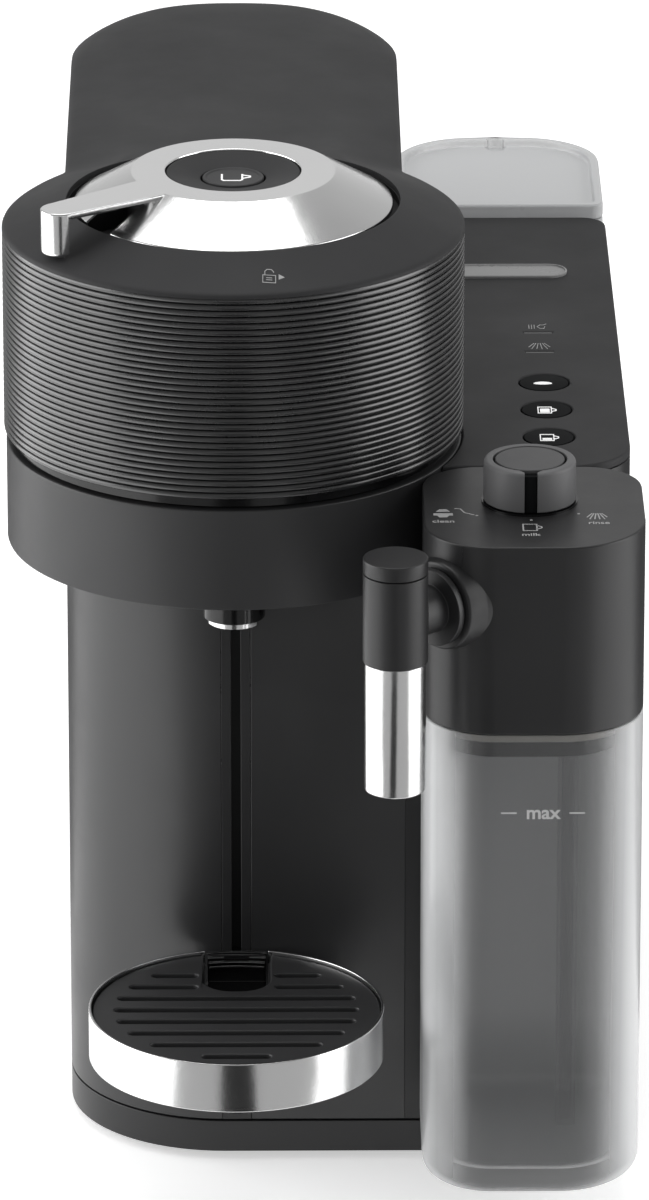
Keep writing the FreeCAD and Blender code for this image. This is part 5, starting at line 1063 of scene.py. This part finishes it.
class COFFEE_OT_knob(bpy.types.Operator):
    """Turn the froth knob: its skirt, its disc and the dark inlay of its pointer"""

    bl_idname = "coffee.knob"
    bl_label = "Froth knob"

    def execute(self, context):
        x, y = centre_of("knob_grip")
        low, top = edge("knob_grip", "low"), edge("knob_grip", "top")
        radius, core, shaft, well = edge("knob_grip", "right") - x, 11.4, 4.1, top - 2.2
        skirt = lathe(softened_profile([
            (shaft, low), (radius, low, 0.5), (radius - 0.15, top, 1.7), (core + 0.1, top, 0.3),
            (core + 0.1, well), (shaft, well)], 0.3, 6), x, y, 128)
        slot = rounded_outline(x - 2, x + 2, y - radius - 1, y - core + 0.8, [0] * 4)
        near, far = y - core + 0.2, y - core - 1.6
        mouth = [(x - 3.6, near), (x - 2, far), (x + 2, far), (x + 3.6, near)]
        skirt = carved(skirt, [block(slot, low - 1, top + 1), block(mouth, top - 2.1, top + 1)])
        make("knob_skirt", skirt, "knob_grey", "froth_knob", ("knob_grip",), smooth=40)
        seat, disc_radius = top - 1.9, core - 0.65
        disc = softened_profile([
            (0, seat), (disc_radius, seat), (disc_radius, top - 0.05, 0.4), (0, top - 0.2, 0)], 0.3)
        make("knob_disc", lathe(disc, x, y, 96), "knob_core", "froth_knob", ("knob_core",))
        groove = [(4.2, top - 2.15), (core, top - 2.15), (core, top - 1.2), (4.2, top - 1.2)]
        filler = rounded_outline(x - 1.95, x + 1.95, y - radius + 0.7, y - 5, [0.4, 0.4, 0, 0], 4)
        inlay = joined(lathe(groove, x, y, 96), block(filler, low + 0.1, top - 1.25))
        make("pointer_inlay", inlay, "button_black", "froth_knob")
        return {"FINISHED"}


class COFFEE_OT_jug_marks(bpy.types.Operator):
    """Print the marks and words round the knob, and the max line on the vessel"""

    bl_idname = "coffee.jug_marks"
    bl_label = "Jug marks"

    def execute(self, context):
        line = context.scene.coffee_sizes.line / MM
        top, letter = edge("milk_lid", "top"), 3.4
        knob_x, knob_y = centre_of("knob_grip")
        dot = [(0.45 * math.cos(math.pi * k / 6), 0.45 * math.sin(math.pi * k / 6)) for k in range(12)]
        mug = [[(u * 0.62, v * 1.1) for u, v in path] for path in MUG_LINES]
        spray = [[(u * 0.56, v * 1.0) for u, v in path] for path in SPRAY_LINES]
        pipe = [[(9.6, -1.0), (6.6, 1.2), (5.4, 4.6), (3.6, 4.9)]]
        tool = [[(-3.0, 0.6), (3.0, 0.6), (3.0, -1.4), (1.8, -1.4), (1.2, -3.0), (-1.2, -3.0), (-1.8, -1.4),
                 (-3.0, -1.4)], [(-2.2, 2.0), (2.2, 2.0), (1.1, 4.2), (-1.1, 4.2)]]
        # Each mark: lines, their weight, its place beside the knob, its dot, filled shapes, its word's place.
        for text, paths, weight, (u, v), (dot_u, dot_v), shapes, (word_u, word_v) in (
                ("milk", mug, 0.9, (-0.4, -24.2), (0.4, 6.6), [], (-0.4, -30.6)),
                ("rinse", spray, 0.8, (20.4, -14.4), (-5.6, 2.3), [], (20.8, -20.2)),
                ("clean", pipe, 1, (-27.0, -12.0), (10.4, -1.4), tool, (-27.0, -18.6))):
            sign(f"{text}_mark", paths, line * weight, level_place(knob_x + u, knob_y + v, top), "printing",
                 "jug_lid", [[(x + dot_u, y + dot_v) for x, y in dot], *shapes])
            word(f"{text}_word", text, letter, spot(knob_x + word_u, knob_y + word_v, top), "printing",
                 "jug_lid")

        # The max line is two dashes with the word between them.
        level, start, end, dash, front = 149.5, 82.2, 108.1, 4.8, edge("milk_container", "front")
        word("max_word", "max", 6.2, spot((start + end) / 2, front - 0.03, level), "pale_print", "jug",
             up=(0, 0, 1), bold=0.12)
        sign("max_lines", [[(start, 0), (start + dash, 0)], [(end - dash, 0), (end, 0)]], 0.5,
             lambda u, v: spot(u, front, level + v), "pale_print", "jug")
        return {"FINISHED"}


class COFFEE_OT_spout(bpy.types.Operator):
    """Turn the milk spout with its cap, its plated tube and the boss that it swings in"""

    bl_idname = "coffee.spout"
    bl_label = "Milk spout"

    def execute(self, context):
        x, y = centre_of("milk_spout_tube")
        low, seam = edge("milk_spout_tube", "low"), edge("milk_spout_tube", "top")
        bore, radius = 8.0, 9.5
        tube = softened_profile([(bore, low, 0.3), (radius, low, 0.6), (radius, seam), (bore, seam)], 0.2)
        make("spout_tube", lathe(tube, x, y, 96), "chrome_plate", "milk_spout", ("milk_spout_tube",))
        top, radius, neck = edge("milk_spout_cap", "top"), 10, 9.4
        cap = softened_profile([
            (0, top - 5.0), (neck, top - 5.0), (neck, top - 4.6), (radius, top - 4.6, 0.3),
            (radius, top, 0.5), (0, top - 0.25, 0)], 0.25)
        make("spout_cap", lathe(cap, x, y, 96), "black_satin", "milk_spout", ("milk_spout_cap",))
        rounded_copy("milk_spout_body", "black_satin", 0.3)

        # The boss that the spout swings in flares smoothly into the lid's corner.
        near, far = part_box("swivel_ring")
        radius, bore, out, root = (edge("swivel_ring", "top") - edge("swivel_ring", "low")) / 2, 6.6, 2.2, -16
        lean = math.sqrt(0.5)
        axis = near + Vector((1, 1, 0)) * (radius + out) * lean * MM
        axis.z = (near.z + far.z) / 2
        outward, across = Vector((-lean, -lean, 0)), Vector((lean, -lean, 0))
        flare = softened_profile([
            (bore, out), (radius - 0.6, out, 1.0), (radius + 0.1, out - 3.5, 2), (radius + 0.7, -4.5, 3),
            (radius + 1.9, -8, 3), (radius + 4.1, -13, 0), (radius + 4.1, root, 0), (bore, root, 0)], 0.3, 8)
        verts, faces = lathe(flare, 0, 0, 128)
        turned = []
        for vert in verts:
            local = vert - spot(0, 0, 0)
            turned.append(axis + across * local.x + Vector((0, 0, local.y)) + outward * local.z)
        make("spout_boss", (turned, faces), "black_satin", "jug_lid", ("swivel_ring",))
        return {"FINISHED"}


class COFFEE_OT_tank(bpy.types.Operator):
    """Round the edges of the water tank and its lid"""

    bl_idname = "coffee.tank"
    bl_label = "Water tank"

    def execute(self, context):
        rounded_copy("tank_body", "tank_clear", 0.5)
        rounded_copy("tank_lid", "tank_clear", 0.8)
        return {"FINISHED"}


# ---------------------------------------------------------------- stage

def softbox(name, place, target, width, height, power):
    """An area lamp that faces a point."""
    lamp = bpy.data.lights.new(name, "AREA")
    lamp.shape, lamp.size, lamp.size_y, lamp.energy = "RECTANGLE", width, height, power
    holder = bpy.data.objects.new(name, lamp)
    holder.location = place
    holder.rotation_euler = (Vector(target) - Vector(place)).to_track_quat("-Z", "Y").to_euler()
    bpy.context.scene.collection.objects.link(holder)


def stage_plane(name, points, material):
    """A flat piece of the stage."""
    mesh = bpy.data.meshes.new(name)
    mesh.from_pydata(points, [], [range(len(points))])
    mesh.materials.append(material)
    plane = bpy.data.objects.new(name, mesh)
    bpy.context.scene.collection.objects.link(plane)
    return plane


class COFFEE_OT_stage(bpy.types.Operator):
    """Set the floor, the background, the lamps and the camera"""

    bl_idname = "coffee.stage"
    bl_label = "Stage"

    def execute(self, context):
        scene = context.scene
        stage = scene.coffee_stage
        scene.view_settings.view_transform = "Standard"
        world = bpy.data.worlds.new("studio")
        scene.world = world
        world.use_nodes = True
        tree = world.node_tree
        tree.nodes.clear()
        rays = add(tree, "ShaderNodeLightPath")
        seen = add(tree, "ShaderNodeMath", {0: rays.outputs["Is Camera Ray"],
                   1: rays.outputs["Is Transmission Ray"]}, operation="MAXIMUM")
        direction = add(tree, "ShaderNodeTexCoord")
        split = add(tree, "ShaderNodeSeparateXYZ", {"Vector": direction.outputs["Generated"]})
        room = add(tree, "ShaderNodeMapRange", {"Value": split.outputs["Y"], "From Min": -0.2,
                   "From Max": 0.9, "To Min": stage.reflected * 0.6, "To Max": stage.reflected * 1.5})
        aside = add(tree, "ShaderNodeMath", {0: split.outputs["X"]}, operation="ABSOLUTE")
        sides = add(tree, "ShaderNodeMapRange", {"Value": aside.outputs[0], "From Min": 0.12,
                    "From Max": 0.38, "To Min": 1.0, "To Max": stage.sides_shade})
        walls = add(tree, "ShaderNodeMath", {0: room.outputs["Result"], 1: sides.outputs["Result"]},
                    operation="MULTIPLY")
        around = add(tree, "ShaderNodeMath", {0: rays.outputs["Is Glossy Ray"], 1: walls.outputs[0]},
                     operation="MULTIPLY")
        plain = add(tree, "ShaderNodeMath", {0: rays.outputs["Is Glossy Ray"], 1: -stage.ambient,
                    2: stage.ambient}, operation="MULTIPLY_ADD")
        shown = add(tree, "ShaderNodeMath", {0: plain.outputs[0], 1: around.outputs[0]}, operation="ADD")
        level = add(tree, "ShaderNodeMath", {0: shown.outputs[0], 1: seen.outputs[0]}, operation="MAXIMUM")
        back = add(tree, "ShaderNodeBackground", {"Color": (1, 1, 1, 1), "Strength": level.outputs[0]})
        add(tree, "ShaderNodeOutputWorld", {"Surface": back.outputs[0]})

        # Matt white paper, lifted to white where it is only background, so that shadows stay on it.
        paper, tree = blank("white paper sweep")
        rays = add(tree, "ShaderNodeLightPath")
        direct = add(tree, "ShaderNodeMath", {0: rays.outputs["Is Camera Ray"],
                     1: rays.outputs["Is Transmission Ray"]}, operation="MAXIMUM")
        lifted = add(tree, "ShaderNodeMath", {0: direct.outputs[0], 1: rays.outputs["Is Glossy Ray"]},
                     operation="MAXIMUM")
        strength = add(tree, "ShaderNodeMath", {0: lifted.outputs[0], 1: stage.floor_lift},
                       operation="MULTIPLY")
        plain = add(tree, "ShaderNodeBsdfDiffuse", {"Color": linear("#f4f4f4")})
        glow = add(tree, "ShaderNodeEmission", {"Strength": strength.outputs[0]})
        both = add(tree, "ShaderNodeAddShader", {0: plain.outputs[0], 1: glow.outputs[0]})
        add(tree, "ShaderNodeOutputMaterial", {"Surface": both.outputs[0]})
        stage_plane("floor", [(-6, -6, 0), (6, -6, 0), (6, 6, 0), (-6, 6, 0)], paper)

        # Cards that only gloss shows. The grey one keeps the front dark, and the black one draws the black
        # line in the plating. The rear ones keep the rear dark, and the pale one lights the plating's left.
        for name, shade, height, corners in (
                ("grey card", stage.card_shade, 0.002,
                 [(-0.12, -0.26), (0.14, -0.26), (2.2, -2.3), (-2.0, -2.3)]),
                ("right rear card", 0.1, 0.002, [(0.12, -0.02), (2.2, 0.55), (2.2, 3.2), (0.16, 3.2)]),
                ("left rear card", 0.2, 0.002, [(-0.12, 0.06), (-0.3, 3.2), (-2.0, 3.2), (-2.0, 1.7)]),
                ("pale card", 1.7, 0.003, [(-0.14, -0.16), (-2.0, -0.1), (-2.0, -1.1), (-0.2, -0.42)]),
                ("black card", 0.02, 0.004, [(-0.045, -0.25), (0.0, -0.25), (0.3, -2.3), (-0.4, -2.3)])):
            card, tree = blank(name)
            dark = add(tree, "ShaderNodeEmission", {"Color": (1, 1, 1, 1), "Strength": shade})
            add(tree, "ShaderNodeOutputMaterial", {"Surface": dark.outputs[0]})
            plane = stage_plane(name, [(x, y, height) for x, y in corners], card)
            plane.visible_camera = plane.visible_diffuse = plane.visible_shadow = False
            plane.visible_transmission = plane.visible_volume_scatter = False

        aim = (0, 0, 0.18)
        softbox("left softbox", (-1.4, 0.0, 0.55), aim, 1.8, 1.3, stage.side_power)
        softbox("right softbox", (1.4, -0.25, 0.55), aim, 1.0, 1.3, stage.side_power * 0.55)
        softbox("top softbox", (-0.1, 0.3, 1.9), aim, 1.4, 1.0, stage.top_power)

        lens = bpy.data.cameras.new("camera")
        lens.sensor_fit, lens.sensor_width, lens.sensor_height = "VERTICAL", 36, 36
        lens.lens = stage.focal_length
        view = bpy.data.objects.new("camera", lens)
        view.location = (-0.01975, -2.87397, 1.23094)
        view.rotation_euler = Euler((math.radians(69.365), 0, math.radians(-0.434)))
        scene.collection.objects.link(view)
        scene.camera = view
        return {"FINISHED"}


class COFFEE_OT_finishes(bpy.types.Operator):
    """Mix the finishes and put each on the CAD pieces of its slot"""

    bl_idname = "coffee.finishes"
    bl_label = "Finishes"

    def execute(self, context):
        finishes = mix_finishes(context.scene.coffee_colours)
        for slot, material in finishes.items():
            material["coffee_slot"] = slot
        for part in frame["record"]["subparts"]:
            node = frame["nodes"][part["node"]]
            node.data.materials.clear()
            node.data.materials.append(finishes[part["material_slot"]])
            for polygon in node.data.polygons:
                polygon.material_index = 0
        return {"FINISHED"}


class COFFEE_PT_panel(bpy.types.Panel):
    """Lists the settings and the operators."""

    bl_idname = "COFFEE_PT_panel"
    bl_label = "Coffee machine"
    bl_space_type = "VIEW_3D"
    bl_region_type = "UI"
    bl_category = "Coffee machine"

    def draw(self, context):
        scene = context.scene
        for group in (scene.coffee_colours, scene.coffee_sizes, scene.coffee_stage):
            for name in group.__annotations__:
                self.layout.prop(group, name)
        for operator in OPERATORS:
            self.layout.operator(operator.bl_idname)


OPERATORS = (COFFEE_OT_finishes, COFFEE_OT_head_cover, COFFEE_OT_ribbed_sleeve, COFFEE_OT_lever,
             COFFEE_OT_middle, COFFEE_OT_housing, COFFEE_OT_deck, COFFEE_OT_tray, COFFEE_OT_jug,
             COFFEE_OT_knob, COFFEE_OT_jug_marks, COFFEE_OT_spout, COFFEE_OT_tank, COFFEE_OT_stage)
CLASSES = (CoffeeColours, CoffeeSizes, CoffeeStage, *OPERATORS, COFFEE_PT_panel)


def register():
    for item in CLASSES:
        bpy.utils.register_class(item)
    bpy.types.Scene.coffee_colours = bpy.props.PointerProperty(type=CoffeeColours)
    bpy.types.Scene.coffee_sizes = bpy.props.PointerProperty(type=CoffeeSizes)
    bpy.types.Scene.coffee_stage = bpy.props.PointerProperty(type=CoffeeStage)


def unregister():
    del bpy.types.Scene.coffee_stage
    del bpy.types.Scene.coffee_sizes
    del bpy.types.Scene.coffee_colours
    for item in reversed(CLASSES):
        bpy.utils.unregister_class(item)


def main():
    """Run the operators in order."""
    register()
    for operator in OPERATORS:
        module, name = operator.bl_idname.split(".")
        getattr(getattr(bpy.ops, module), name)()


if __name__ == "__main__":
    main()
